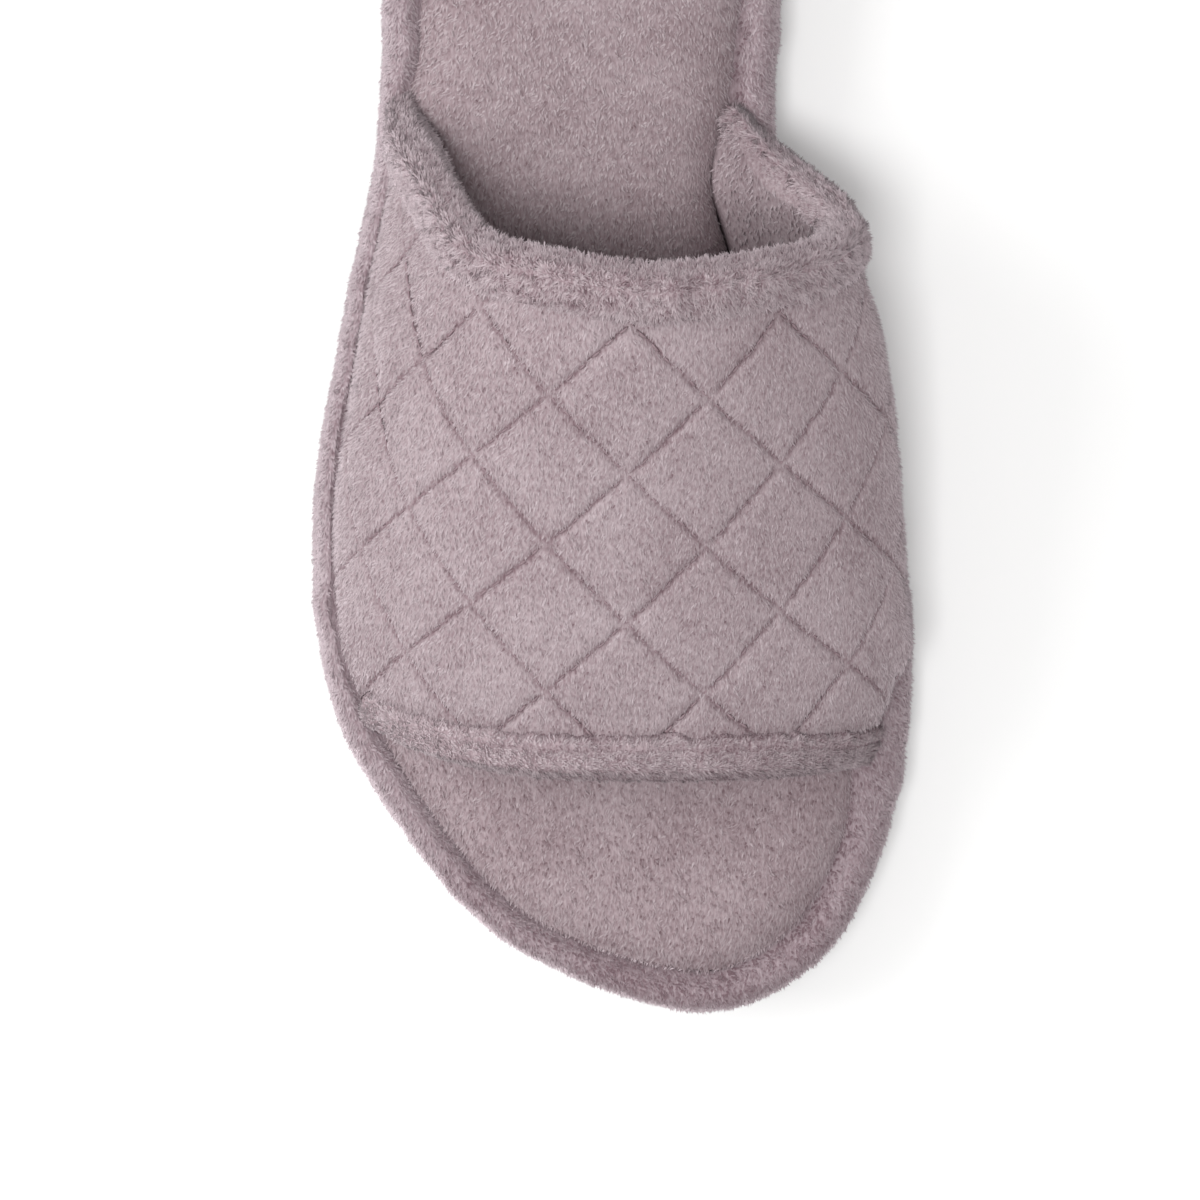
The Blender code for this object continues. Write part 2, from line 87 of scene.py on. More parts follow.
def plateau(value, start, full, still_full, end):
    """0 before start, an S-shaped rise to 1 at full, and the same fall from still_full to end."""
    return smooth_step(value, start, full) * (1.0 - smooth_step(value, still_full, end))


def bell(distance, width, softness=2.0):
    """1 at no distance, falling off to nothing beyond width: an exponential of the distance to a power."""
    return np.exp(-((distance / width) ** softness))


def unit(vectors):
    """Vectors brought to length one."""
    return vectors / np.maximum(np.linalg.norm(vectors, axis=-1, keepdims=True), SHORTEST_VECTOR)


def lengths_along(points, power=1.0):
    """Length along a line of points up to each of them, with every step raised to power."""
    steps = np.linalg.norm(np.diff(points, axis=0), axis=1)
    return np.concatenate([[0.0], np.cumsum(steps**power)])


def read_along(where, length, vectors):
    """Vectors at lengths along a line, on straight runs between its points."""
    return np.stack([np.interp(where, length, column) for column in vectors.T], axis=-1)


def toe_lift(y):
    """The toe spring: a parabola in front of the ball's flat spot."""
    return TOE_SPRING * np.clip((SPRING_FROM_Y - y) / (SPRING_FROM_Y - TOE_Y), 0.0, 1.0) ** 2


def ground_line(y):
    """Underside of the sole: flat at heel and ball, lifted at the arch and the toe."""
    return ARCH_LIFT * plateau(y, *ARCH_Y) + toe_lift(y)


OutlinePoint = namedtuple("OutlinePoint", "place along across")
# along is the share of the length from the toe, across the share of half the ball width
BIG_TOE_SIDE = (
    OutlinePoint("toe tip", 0.000, 0.31),
    OutlinePoint("big toe", 0.034, 0.68),
    OutlinePoint("big toe root", 0.113, 0.905),
    OutlinePoint("ball joint", 0.235, 1.00),
    OutlinePoint("arch front", 0.375, 0.91),
    OutlinePoint("arch", 0.520, 0.62),
    OutlinePoint("waist", 0.609, 0.52),
    OutlinePoint("heel front", 0.715, 0.565),
    OutlinePoint("heel side", 0.860, 0.67),
    OutlinePoint("heel corner", 0.966, 0.47),
    OutlinePoint("heel back", 1.000, 0.01),
)
LITTLE_TOE_SIDE = (
    OutlinePoint("heel corner", 0.965, -0.455),
    OutlinePoint("heel side", 0.860, -0.66),
    OutlinePoint("heel front", 0.703, -0.755),
    OutlinePoint("waist", 0.586, -0.785),
    OutlinePoint("arch", 0.461, -0.905),
    OutlinePoint("ball joint", 0.320, -1.00),
    OutlinePoint("little toe root", 0.200, -0.92),
    OutlinePoint("little toe", 0.122, -0.70),
    OutlinePoint("middle toes", 0.0465, -0.355),
)
OUTLINE_STEPS = 40  # points between two rows of the outline
OUTLINE_LAP = 3  # rows repeated at both ends, so that the outline closes smoothly
STATIONS = 260  # steps from toe tip to heel back along each side


def outline_loop():
    """The closed outline as fine points from the toe tip round the big-toe side, and the heel's place."""
    rows = BIG_TOE_SIDE + LITTLE_TOE_SIDE
    knots = np.array([[p.across * BALL_WIDTH / 2, TOE_Y + p.along * LENGTH] for p in rows])
    wrapped = np.vstack([knots[-OUTLINE_LAP:], knots, knots[: OUTLINE_LAP + 1]])
    chord = lengths_along(wrapped, power=0.5)  # square roots keep the curve from overshooting
    ring = chord[OUTLINE_LAP : OUTLINE_LAP + 1 + len(rows)]
    runs = [np.linspace(a, b, OUTLINE_STEPS, endpoint=False) for a, b in zip(ring[:-1], ring[1:])]
    where = np.concatenate(runs)
    loop = np.stack([read_between(chord, wrapped[:, axis], where) for axis in (0, 1)], axis=1)
    return loop, (len(BIG_TOE_SIDE) - 1) * OUTLINE_STEPS


LOOP, HEEL_INDEX = outline_loop()
LOOP_STEP = np.roll(LOOP, -1, axis=0) - np.roll(LOOP, 1, axis=0)
LOOP_INWARD = unit(np.stack([-LOOP_STEP[:, 1], LOOP_STEP[:, 0]], axis=1))
BIG, LITTLE = 0, 1  # the sole's two sides


def side_stations(side):
    """Outline points and inward directions at even lengths along one side, from toe tip to heel back."""
    order = np.arange(HEEL_INDEX + 1)
    if side == LITTLE:
        order = np.arange(len(LOOP), HEEL_INDEX - 1, -1) % len(LOOP)
    length = lengths_along(LOOP[order])
    even = np.linspace(0.0, length[-1], STATIONS + 1)
    return [read_along(even, length, vectors[order]) for vectors in (LOOP, LOOP_INWARD)]


SIDE_LINES, SIDE_INWARDS = zip(*[side_stations(side) for side in (BIG, LITTLE)])


def edge(side, inset):
    """One side of the outline moved inwards by an inset for each station."""
    return SIDE_LINES[side] + SIDE_INWARDS[side] * inset[:, None]


def lifted(plan, height):
    """Plan points with their heights."""
    return np.concatenate([plan, np.broadcast_to(height, plan.shape[:-1])[..., None]], axis=-1)


def across(start, end, shares):
    """Columns of plan points on straight lines from start to end, at the shares of the way."""
    shares = np.asarray(shares)[None, :, None]
    return start[:, None] * (1 - shares) + end[:, None] * shares


def flat_face(start, end, height_line):
    """Columns across a piece from one edge to another, with heights by a line along the foot."""
    plan = across(start[:, :2], end[:, :2], FLAT_SHARES)
    return lifted(plan, height_line(plan[..., 1]))


def ringed(big, top, little, bottom):
    """Columns all round a piece: up its big-toe side, over its top, down its other side and underneath."""
    return np.concatenate([big, top, little[:, ::-1], bottom], axis=1)


def linked(name, mesh, material):
    """A mesh with its material, as an object of the scene."""
    mesh.materials.append(material)
    piece = bpy.data.objects.new(name, mesh)
    bpy.context.scene.collection.objects.link(piece)
    return piece


def closed_piece(name, points, material, shade=0.0):
    """A grid, or a stack of grids, that closes on itself across its columns, and at its two ends where a
    row's points meet. Points that fall together are welded, and the faces are turned outwards. The material
    may read the points' shade."""
    index = np.arange(points[..., 0].size).reshape(points.shape[:-1])
    beside = np.roll(index, -1, axis=-1)
    corners = index[..., :-1, :], index[..., 1:, :], beside[..., 1:, :], beside[..., :-1, :]
    quads = np.stack(corners, axis=-1).reshape(-1, 4)
    mesh = bpy.data.meshes.new(name)
    mesh.from_pydata((points.reshape(-1, 3) * MM).tolist(), [], quads.tolist())
    shades = np.broadcast_to(shade, points.shape[:-1]).astype(np.float32).ravel()
    mesh.attributes.new("shade", "FLOAT", "POINT").data.foreach_set("value", shades)
    shell = bmesh.new()
    shell.from_mesh(mesh)
    bmesh.ops.remove_doubles(shell, verts=shell.verts, dist=WELD_DISTANCE)
    bmesh.ops.recalc_face_normals(shell, faces=shell.faces)
    shell.to_mesh(mesh)
    shell.free()
    mesh.shade_smooth()
    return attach(linked(name, mesh, material), "root")


SideRow = namedtuple("SideRow", "place inset share rise")
# share runs from the piece's underside (0) to its top (1), and rise is added to that height
OUTSOLE_SIDE = (
    SideRow("tread edge", 4.0, 0.0, 0.0),
    SideRow("lower bevel", 2.6, 0.0, 1.2),
    SideRow("top edge", 2.2, 1.0, 0.0),
)
LITTLE_TOE_RIM = 0.85  # share of the rows' insets on the little-toe side
BIG_TOE_RIM = 1.25  # and on the big-toe side
PRESSED_RIM = 0.34  # on the little-toe side where the vamp's wall presses against the rim
PRESSED_Y = (-86.0, -62.0, 26.0, 40.0)  # the pressing starts, is full, is full, ends
RIM_TURN_X = (-35.0, 40.0)  # the rim widens between these lines
TREAD_COLUMNS = 60
TREAD_PITCH = 7.0
TREAD_DEPTH = 0.9
TREAD_SWING = 2.2  # how far the grooves wave towards toe and heel
TREAD_WAVE = 21.0  # length of one wave across the sole
TREAD_BORDER = (5.0, 6.2)  # grooves fade in between these distances from the edge
TREAD_WALL = (0.2, 0.75)  # a groove's wall lies between these heights of the cosine
FLAT_SHARES = (0.25, 0.5, 0.75)  # columns across a flat face
RUBBER_COLOURS = ((0.16, 0.135, 0.145), (0.22, 0.19, 0.20))


def rim_share(side):
    """Share of the side rows' insets at each station: wide on the big-toe side, narrow beside the vamp on
    the other."""
    x, y = SIDE_LINES[side].T
    little = LITTLE_TOE_RIM + (PRESSED_RIM - LITTLE_TOE_RIM) * plateau(y, *PRESSED_Y)
    return little + (BIG_TOE_RIM - little) * smooth_step(x, *RIM_TURN_X)


def side_column(side, row, low_line, high_line):
    """One side row carried along a side, between two height lines."""
    plan = edge(side, row.inset * rim_share(side))
    low, high = low_line(plan[:, 1]), high_line(plan[:, 1])
    return lifted(plan, low + row.share * (high - low) + row.rise)


def tread(plan, from_edge):
    """Underside with grooves: waves across the sole, cut where a cosine along the foot is high."""
    wave = plan[..., 1] + TREAD_SWING * np.sin(2 * np.pi * plan[..., 0] / TREAD_WAVE)
    groove = smooth_step(np.cos(2 * np.pi * wave / TREAD_PITCH), *TREAD_WALL)
    return ground_line(plan[..., 1]) + TREAD_DEPTH * groove * smooth_step(from_edge, *TREAD_BORDER)


def outsole_top(y):
    """Top of the outsole: its underside raised by its thickness."""
    return ground_line(y) + OUTSOLE_THICKNESS


def new_material(name):
    """A material with nodes, and those nodes."""
    made = bpy.data.materials.new(name)
    made.use_nodes = True
    return made, made.node_tree.nodes


def wire(node, values, fed):
    """Sets values on a shader node's sockets, and feeds other sockets from outputs."""
    for socket, value in values.items():
        node.inputs[socket].default_value = value
    for socket, output in fed.items():
        node.id_data.links.new(output, node.inputs[socket])


def feed(nodes, kind, output, values, fed, **settings):
    """An output of a new shader node that has the values, the feeding outputs and the settings."""
    node = nodes.new("ShaderNode" + kind)
    for setting, value in settings.items():
        setattr(node, setting, value)
    wire(node, values, fed)
    return node.outputs[output]


def tinted(nodes, factor, colours):
    """Colours at even steps of a factor, blended between them."""
    node = nodes.new("ShaderNodeValToRGB")
    for step in range(1, len(colours) - 1):
        node.color_ramp.elements.new(step / (len(colours) - 1))
    for element, colour in zip(node.color_ramp.elements, colours):
        element.color = (*colour, 1.0)
    wire(node, {}, {"Fac": factor})
    return node.outputs["Color"]


def rubber_material():
    """Matte moulded rubber: a grey mauve with faint cloudy patches and a fine pebbled bump."""
    made, nodes = new_material("outsole_rubber")
    place = feed(nodes, "TexCoord", "Object", {}, {})
    clouds = feed(nodes, "TexNoise", "Fac", {"Scale": 60.0}, {"Vector": place})
    pebbles = feed(nodes, "TexNoise", "Fac", {"Scale": 1400.0}, {"Vector": place})
    bump = feed(nodes, "Bump", "Normal", {"Strength": 0.25, "Distance": 0.15 * MM}, {"Height": pebbles})
    tint = tinted(nodes, clouds, RUBBER_COLOURS)
    wire(nodes["Principled BSDF"], {"Roughness": 0.7}, {"Base Color": tint, "Normal": bump})
    return made


big_side, little_side = (
    np.stack([side_column(side, row, ground_line, outsole_top) for row in OUTSOLE_SIDE], axis=1)
    for side in (BIG, LITTLE)
)
sole_top = flat_face(big_side[:, -1], little_side[:, -1], outsole_top)
tread_shares = np.linspace(0.0, 1.0, TREAD_COLUMNS + 1)[1:-1]
tread_plan = across(little_side[:, 0, :2], big_side[:, 0, :2], tread_shares)
tread_width = np.linalg.norm(big_side[:, 0] - little_side[:, 0], axis=1)[:, None]
from_edge = np.minimum(tread_shares, 1 - tread_shares)[None] * tread_width
sole_tread = lifted(tread_plan, tread(tread_plan, from_edge))
outsole_points = ringed(big_side, sole_top, little_side, sole_tread)
rubber_outsole = closed_piece("rubber_outsole", outsole_points, rubber_material())
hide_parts("outsole")

# Platform wrap
# A foam block wrapped in short plush that is pulled round its sides and over a soft rolled rim, and caught
# in the crease where vamp and footbed meet it. The pile is combed round the edge.

FOREFOOT_SHELF = 15.0
HEEL_SHELF = 20.0
SHELF_RISE_Y = (-40.0, 70.0)
PLATFORM_BASE = OUTSOLE_THICKNESS + GAP
PLATFORM_SIDE = (
    SideRow("bottom edge", 2.6, 0.0, 0.0),
    SideRow("lower roll", 0.7, 0.0, 1.6),
    SideRow("side", 0.0, 0.45, 0.0),
    SideRow("shoulder", 0.35, 0.88, 0.0),
    SideRow("rim outside", 1.5, 1.0, 1.1),
    SideRow("rim top", 3.4, 1.0, 2.2),
    SideRow("rim inside", 5.3, 1.0, 1.5),
    SideRow("crease", 6.2, 1.0, 0.9),
)
WRAP_ROWS = 26
PILE_STAND = 0.5  # pile cloth's ground lies this far under the form that its pile makes
WRAP_LUMP = 0.35  # soft unevenness of the wrapped roll
WRAP_LENGTH = 300.0  # of one side, for that unevenness
HEM_TUCK = 3.2  # the big-toe side's roll leans in over the end of the vamp's hem
HEM_TUCK_Y = -83.0
HEM_TUCK_REACH = 11.0
HEM_TUCK_ROWS = (1.0, 5.0)  # the side rows' insets over which that lean grows
HEM_TUCK_LIFT = 0.5  # how far the leaning roll rises, as a share of the lean
PRESSED_FILL = 1.1  # where the vamp's wall presses against the roll, the cloth is pushed up in the crease
PRESSED_FILL_ROWS = (3.2, 6.2)


def shelf_line(y):
    """Top of the platform, inside its rolled rim."""
    return FOREFOOT_SHELF + (HEEL_SHELF - FOREFOOT_SHELF) * smooth_step(y, *SHELF_RISE_Y) + toe_lift(y)


def platform_base(y):
    """Underside of the platform: the sole's top and a small gap."""
    return ground_line(y) + PLATFORM_BASE


def soft_waves(lengths, seed, longest=48.0, shortest=9.0, count=9):
    """Unevenness along a length: sines of falling wave length with seeded phases, about one high in all."""
    rng = np.random.default_rng(seed)
    waves = np.geomspace(longest, shortest, count)
    phases = rng.uniform(0.0, 2 * np.pi, count)
    return np.sin(2 * np.pi * lengths[..., None] / waves + phases).sum(axis=-1) / np.sqrt(count)


def smooth_rows(rows, count):
    """A table read at more rows, on a smooth line through its own."""
    own, where = np.arange(len(rows)), np.linspace(0.0, len(rows) - 1.0, count)
    columns = [read_between(own, column, where) for column in list(zip(*rows))[1:]]
    return [type(rows[0])("between", *values) for values in zip(*columns)]


def grid_normals(points):
    """Outward directions of a grid: the cross product of its steps along rows and along columns."""
    return unit(np.cross(np.gradient(points, axis=0), np.gradient(points, axis=1)))


PileColours = namedtuple("PileColours", "deep middle light")
# between the tufts, on their sides and at their tips
PATCH_SHARE = 0.36  # what soft patches add to the shade
FLECK_SHARE = 0.80  # and what flecks add
FIBRE_TINT = (0.78, 0.67, 0.71, 1.0)
GROUND_SHEEN = 0.1  # the woven ground has hardly any of the pile's sheen


def plush_material(name, colours, sheen):
    """Pile cloth: deep between the tufts and light at their tips, by the piece's own shade, which carries
    painted shade between the tufts and painted sheen at their tips, with soft patches where the nap lies
    differently, flecks drawn out along the foot, and the sheen of fibre ends."""
    made, nodes = new_material(name)
    place = feed(nodes, "TexCoord", "Object", {}, {})
    tone = feed(nodes, "Attribute", "Fac", {}, {}, attribute_name="shade")
    patches = feed(nodes, "TexNoise", "Fac", {"Scale": 70.0, "Detail": 4.0}, {"Vector": place})
    drawn_out = feed(nodes, "Mapping", "Vector", {"Scale": (2300.0, 900.0, 1500.0)}, {"Vector": place})
    flecks = feed(nodes, "TexNoise", "Fac", {"Scale": 1.0}, {"Vector": drawn_out})
    for spots, share in ((patches, PATCH_SHARE), (flecks, FLECK_SHARE)):
        tone = feed(nodes, "Math", "Value", {1: share}, {0: spots, 2: tone}, operation="MULTIPLY_ADD")
    middle = (PATCH_SHARE + FLECK_SHARE) / 2  # what both add where their noise is half way
    tone = feed(nodes, "Math", "Value", {1: middle}, {0: tone}, operation="SUBTRACT")
    tint = tinted(nodes, tone, colours)
    bump = feed(nodes, "Bump", "Normal", {"Strength": 0.6, "Distance": 0.4 * MM}, {"Height": flecks})
    shader = nodes["Principled BSDF"]
    wire(shader, {"Roughness": 0.9, "Specular IOR Level": 0.15}, {"Base Color": tint, "Normal": bump})
    wire(shader, {"Sheen Weight": sheen, "Sheen Roughness": 0.5, "Sheen Tint": FIBRE_TINT}, {})
    return made


def pile_cloth(name, colours, pile_sheen=1.0, ground_sheen=GROUND_SHEEN):
    """The two materials of a pile cloth: its tufts and its woven ground."""
    finishes = ("plush", pile_sheen), ("ground", ground_sheen)
    return [plush_material(f"{name}_{layer}", colours, sheen) for layer, sheen in finishes]


def strewn(points, count, rng):
    """Even random places on a grid: its cells' areas are laid end to end and one place falls in each
    equal share of them. Gives a reader of any grid of values at those places."""
    sides = np.diff(points[:, :-1], axis=0), np.diff(points[:-1], axis=1)
    area = np.cumsum(np.linalg.norm(np.cross(*sides), axis=-1).ravel())
    place = (np.arange(count) + rng.random(count)) * area[-1] / count
    row, column = np.divmod(np.searchsorted(area, place), points.shape[1] - 1)
    down, along = rng.random((2, count))

    def read(values):
        """Values at the places, weighted between the four corners of each cell."""
        down_share = down.reshape(-1, *[1] * (values.ndim - 2))
        along_share = along.reshape(-1, *[1] * (values.ndim - 2))
        top = values[row, column] * (1 - along_share) + values[row, column + 1] * along_share
        bottom = values[row + 1, column] * (1 - along_share) + values[row + 1, column + 1] * along_share
        return top * (1 - down_share) + bottom * down_share

    return read


Nap = namedtuple("Nap", "length width lean tousle clump")
# length and width of one tuft, degrees that it leans off upright, degrees that it strays from the comb, and
# the size of the clumps that stray together
Patch = namedtuple("Patch", "points facing comb count shape")
# a grid, 1 where its outside faces the pile or -1, its comb directions, its count of tufts, and a function
# that gives the tufts' share of full length and their tone
TUFT_FACES = np.array([[0, 2, 3], [1, 3, 2], [0, 3, 1], [0, 1, 2]])  # two root corners, one above, the tip
TUFT_CHART = np.array([[0.1, 0.1], [0.9, 0.1], [0.5, 0.35], [0.5, 0.9]])  # in its cell of the texture chart
# painted shade on the woven ground between the tufts and at their roots, and painted sheen at their tips
GROUND_SHADE = 0.36
ROOT_SHADE = 0.16
TIP_SHADE = 0.68
TUFT_SPREAD = 0.12  # how far single tufts stray in shade
CLUMP_SHADE = 0.05  # how far clumps stray in shade
CLUMP_LEAN = 10.0  # degrees that clumps stand up or lie down
CLUMP_SHARE = 0.8  # how much of a tuft's straying it shares with its clump
ALONE_SHARE = 0.6  # and how much is its own
WAVE_SHARES = (0.7, 1.5)  # of a clump's size
LEANS = (12.0, 82.0)  # degrees off upright within which every tuft stays
LENGTH_SHARES = (0.7, 1.3)  # of the nap's length
WIDTH_SHARES = (0.75, 1.25)  # and of its width
ROOT_DEPTH = 0.15
ROOT_ROUNDING = 0.4  # how far the soft normals turn aside at a tuft's root
TIP_ROUNDING = 0.3  # and towards its tip


def even_pile(read):
    """Tufts of full length and plain tone."""
    return 1.0, 0.0


def ripples(places, size, rng, count=16):
    """Smooth random values, about one high: sines across the places along seeded directions, with wave
    lengths near size."""
    directions = unit(rng.standard_normal((count, 3)))
    waves = directions * 2 * np.pi / (size * rng.uniform(*WAVE_SHARES, (count, 1)))
    phases = rng.uniform(0.0, 2 * np.pi, count)
    return np.sin(places @ waves.T + phases).sum(axis=1, keepdims=True) * np.sqrt(2.0 / count)


def tufts(patch, nap, rng):
    """Corners, soft normals and shades of tufts: each is a slim pyramid from its root along the comb, and
    tufts of one clump stray together."""
    read = strewn(patch.points, patch.count, rng)
    root, up = read(patch.points), unit(read(patch.facing * grid_normals(patch.points)))
    flow = read(np.broadcast_to(patch.comb, patch.points.shape))
    flow = unit(flow - up * np.sum(flow * up, axis=1, keepdims=True))
    side = np.cross(up, flow)
    alone = rng.standard_normal((2, patch.count, 1))
    turn = np.radians(nap.tousle) * (CLUMP_SHARE * ripples(root, nap.clump, rng) + ALONE_SHARE * alone[0])
    flow, side = np.cos(turn) * flow + np.sin(turn) * side, np.cos(turn) * side - np.sin(turn) * flow
    stray = CLUMP_LEAN * (CLUMP_SHARE * ripples(root, nap.clump, rng) + ALONE_SHARE * alone[1])
    lean = np.radians(np.clip(nap.lean + stray, *LEANS))
    along = np.cos(lean) * up + np.sin(lean) * flow
    length_share, tone = (np.broadcast_to(v, patch.count)[:, None] for v in patch.shape(read))
    tip = root + along * nap.length * rng.uniform(*LENGTH_SHARES, (patch.count, 1)) * length_share
    half = nap.width / 2 * rng.uniform(*WIDTH_SHARES, (patch.count, 1))
    back = root - ROOT_DEPTH * up
    corners = np.stack([back + side * half, back - side * half, back + up * half, tip], axis=1)
    beside, ahead = ROOT_ROUNDING * side, TIP_ROUNDING * along
    soft = np.stack([up + beside, up - beside, up, up + ahead], axis=1)
    # painted shade at the roots and painted sheen at the tips
    shades = np.array([ROOT_SHADE, ROOT_SHADE, (ROOT_SHADE + TIP_SHADE) / 2, TIP_SHADE])
    single = TUFT_SPREAD * rng.standard_normal((patch.count, 1))
    return corners, unit(soft), shades + tone + single + CLUMP_SHADE * ripples(root, nap.clump, rng)


def pile_piece(name, patches, nap, seed, material):
    """Pile of some patches as one joined mesh, with a cell of the texture chart for each tuft."""
    rng = np.random.default_rng(seed)
    by_patch = [tufts(patch, nap, rng) for patch in patches]
    corners, soft, shades = (np.concatenate(parts) for parts in zip(*by_patch))
    count, each = corners.shape[:2]
    faces = (np.arange(count)[:, None, None] * each + TUFT_FACES).reshape(-1)
    mesh = bpy.data.meshes.new(name)
    mesh.vertices.add(count * each)
    mesh.vertices.foreach_set("co", (corners * MM).astype(np.float32).ravel())
    mesh.loops.add(len(faces))
    mesh.loops.foreach_set("vertex_index", faces.astype(np.int32))
    mesh.polygons.add(len(faces) // 3)
    mesh.polygons.foreach_set("loop_start", np.arange(0, len(faces), 3, dtype=np.int32))
    mesh.update(calc_edges=True)
    mesh.shade_smooth()
    cells = int(np.ceil(np.sqrt(count)))
    cell = np.stack(np.divmod(np.arange(count), cells), axis=1)
    chart = ((cell[:, None] + TUFT_CHART) / cells).reshape(-1, 2)
    mesh.uv_layers.new(name="OFBake").uv.foreach_set("vector", chart[faces].astype(np.float32).ravel())
    values = shades.astype(np.float32).ravel()
    mesh.attributes.new("shade", "FLOAT", "POINT").data.foreach_set("value", values)
    mesh.normals_split_custom_set_from_vertices(soft.reshape(-1, 3).tolist())
    piece = linked(name, mesh, material)
    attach(piece, "root")
    return piece


def wrap_light_and_shade(grid, side_tone, flank_tone):
    """Full tufts with side_tone painted on as light, painted darker round the toe as shade, and darker by
    flank_tone as painted shade on the flank that goes down into the crease."""
    flank = smooth_step(np.linspace(0.0, 1.0, grid.shape[1]), *WRAP_FLANK)
    flanks = np.broadcast_to(flank, grid.shape[:2])

    def shape(read):
        toe = 1.0 - smooth_step(read(grid)[:, 1], *TOE_WRAP_Y)
        return 1.0, side_tone * (1.0 - toe) - TOE_WRAP_SHADE * toe - flank_tone * read(flanks)

    return shape


def wrap_side(side):
    """One side of the wrap as a grid: stations from toe to heel by rows from the bottom edge to the crease.
    It is lumpy but for its two ends, leans in over the hem's end, and is pushed up in the crease."""
    share = np.linspace(0.0, 1.0, STATIONS + 1)
    lump = WRAP_LUMP * soft_waves(WRAP_LENGTH * share, seed=11 + side) * np.sqrt(np.sin(np.pi * share))
    pressed = 1.0 - smooth_step(rim_share(side), PRESSED_RIM, LITTLE_TOE_RIM)
    inward = lifted(SIDE_INWARDS[side], 0.0)
    columns = []
    for row in smooth_rows(PLATFORM_SIDE, WRAP_ROWS):
        column = side_column(side, row, platform_base, shelf_line)
        tuck = HEM_TUCK * (side == BIG) * bell(column[:, 1] - HEM_TUCK_Y, HEM_TUCK_REACH)
        tuck = tuck * smooth_step(row.inset, *HEM_TUCK_ROWS)
        fill = PRESSED_FILL * pressed * smooth_step(row.inset, *PRESSED_FILL_ROWS)
        column[:, 2] += HEM_TUCK_LIFT * tuck + fill
        columns.append(column + inward * (tuck - lump * min(row.share, 1.0))[:, None])
    return np.stack(columns, axis=1)


WRAP_COLOURS = PileColours((0.172, 0.11, 0.126), (0.372, 0.297, 0.32), (0.52, 0.437, 0.465))
WRAP_NAP = Nap(length=1.1, width=0.56, lean=56.0, tousle=30.0, clump=2.6)
WRAP_TUFTS = 21000  # on each side
WRAP_COMB = np.array([0.35, -1.0, -0.45])
WRAP_FLANK = (0.80, 1.0)  # share of the way from the bottom edge to the crease
BIG_TONES = (0.0, 0.34)  # of the side as painted light, and how much darker its flank is as painted shade in the crease
# the little-toe side is painted lighter as light, and its flank is not darkened
LITTLE_TONES = (0.09, 0.0)
# painted shade round the toe
TOE_WRAP_SHADE = 0.25
TOE_WRAP_Y = (-118.0, -80.0)

wrap_plush, wrap_ground = pile_cloth("wrap", WRAP_COLOURS)
big_wrap, little_wrap = wrap_side(BIG), wrap_side(LITTLE)
wrap_top = flat_face(big_wrap[:, -1], little_wrap[:, -1], shelf_line)
wrap_bottom = flat_face(little_wrap[:, 0], big_wrap[:, 0], platform_base)
wrap_points = ringed(big_wrap, wrap_top, little_wrap, wrap_bottom)
platform_wrap = closed_piece("platform_wrap", wrap_points, wrap_ground, GROUND_SHADE)
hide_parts("platform")
wrap_patches = [
    Patch(grid, facing, WRAP_COMB, WRAP_TUFTS, wrap_light_and_shade(grid, *tones))
    for grid, facing, tones in ((big_wrap[:, :-1], 1, BIG_TONES), (little_wrap[:, :-1], -1, LITTLE_TONES))
]
pile_piece("wrap_pile", wrap_patches, WRAP_NAP, 21, wrap_plush)

# Footbed
# A soft pad covered in the same short plush, laid inside the rolled rim. Its border rounds down into the
# crease, it steps in beside the vamp's walls, and it is pressed a little hollow under the heel.

PLATFORM_CREASE = PLATFORM_SIDE[-1].inset
BESIDE_WALL = 0.6  # the soft pad presses against the vamp's wall
LINING_ROLL = 5.0  # the lining's soft roll between wall and pad, at the arch
LINING_ROLL_Y = (-45.0, -5.0, 14.0, 30.0)  # it starts, is full, is full, ends
WALL_END_BLEND = 9.0
PAD_EDGE = 2.0  # height above the shelf at the border
PAD_CROWN = 6.5  # how much higher the pad is inside it
PAD_SOFTNESS = 5.0  # how far in it takes to rise
HEEL_CUP = 2.0
HEEL_CENTRE_Y = 84.0
HEEL_CUP_RADIUS = 30.0
PAD_SIDE = ((1.0, GAP), (0.0, 1.1))  # inset from the footbed's edge, height above the shelf
PAD_COLUMNS = 64
PLAN_PARTS = 40  # a plan is measured in parts, to keep the arrays small
WALL_FRONT_Y = (-84.5, -76.5)  # where the vamp's wall starts, on the big-toe and the little-toe side
WALL_BACK_Y = (29.5, 31.5)  # and where it ends


def seam_inset(side):
    """Inset of the vamp's outer face at the sole seam, for each station."""
    return PLATFORM_CREASE * rim_share(side) + GAP


def footbed_edge(side):
    """Inset of the footbed's edge at each station: wider where the vamp's wall comes down beside it."""
    inset = seam_inset(side)
    y = edge(side, inset)[:, 1]
    front, back = WALL_FRONT_Y[side], WALL_BACK_Y[side]
    walled = plateau(y, front - WALL_END_BLEND, front, back, back + WALL_END_BLEND)
    return inset + (BESIDE_WALL + lining_roll(side, y)) * walled


def lining_roll(side, y):
    """How far the lining's roll stands in from the wall, on the big-toe side only."""
    return LINING_ROLL * plateau(y, *LINING_ROLL_Y) if side == BIG else 0.0


def distance_to(line, plan):
    """Shortest distance from each plan point to a line of points."""
    parts = np.array_split(plan.reshape(-1, 2), PLAN_PARTS)
    nearest = [np.linalg.norm(part[:, None] - line[None], axis=2).min(axis=1) for part in parts]
    return np.concatenate(nearest).reshape(plan.shape[:-1])


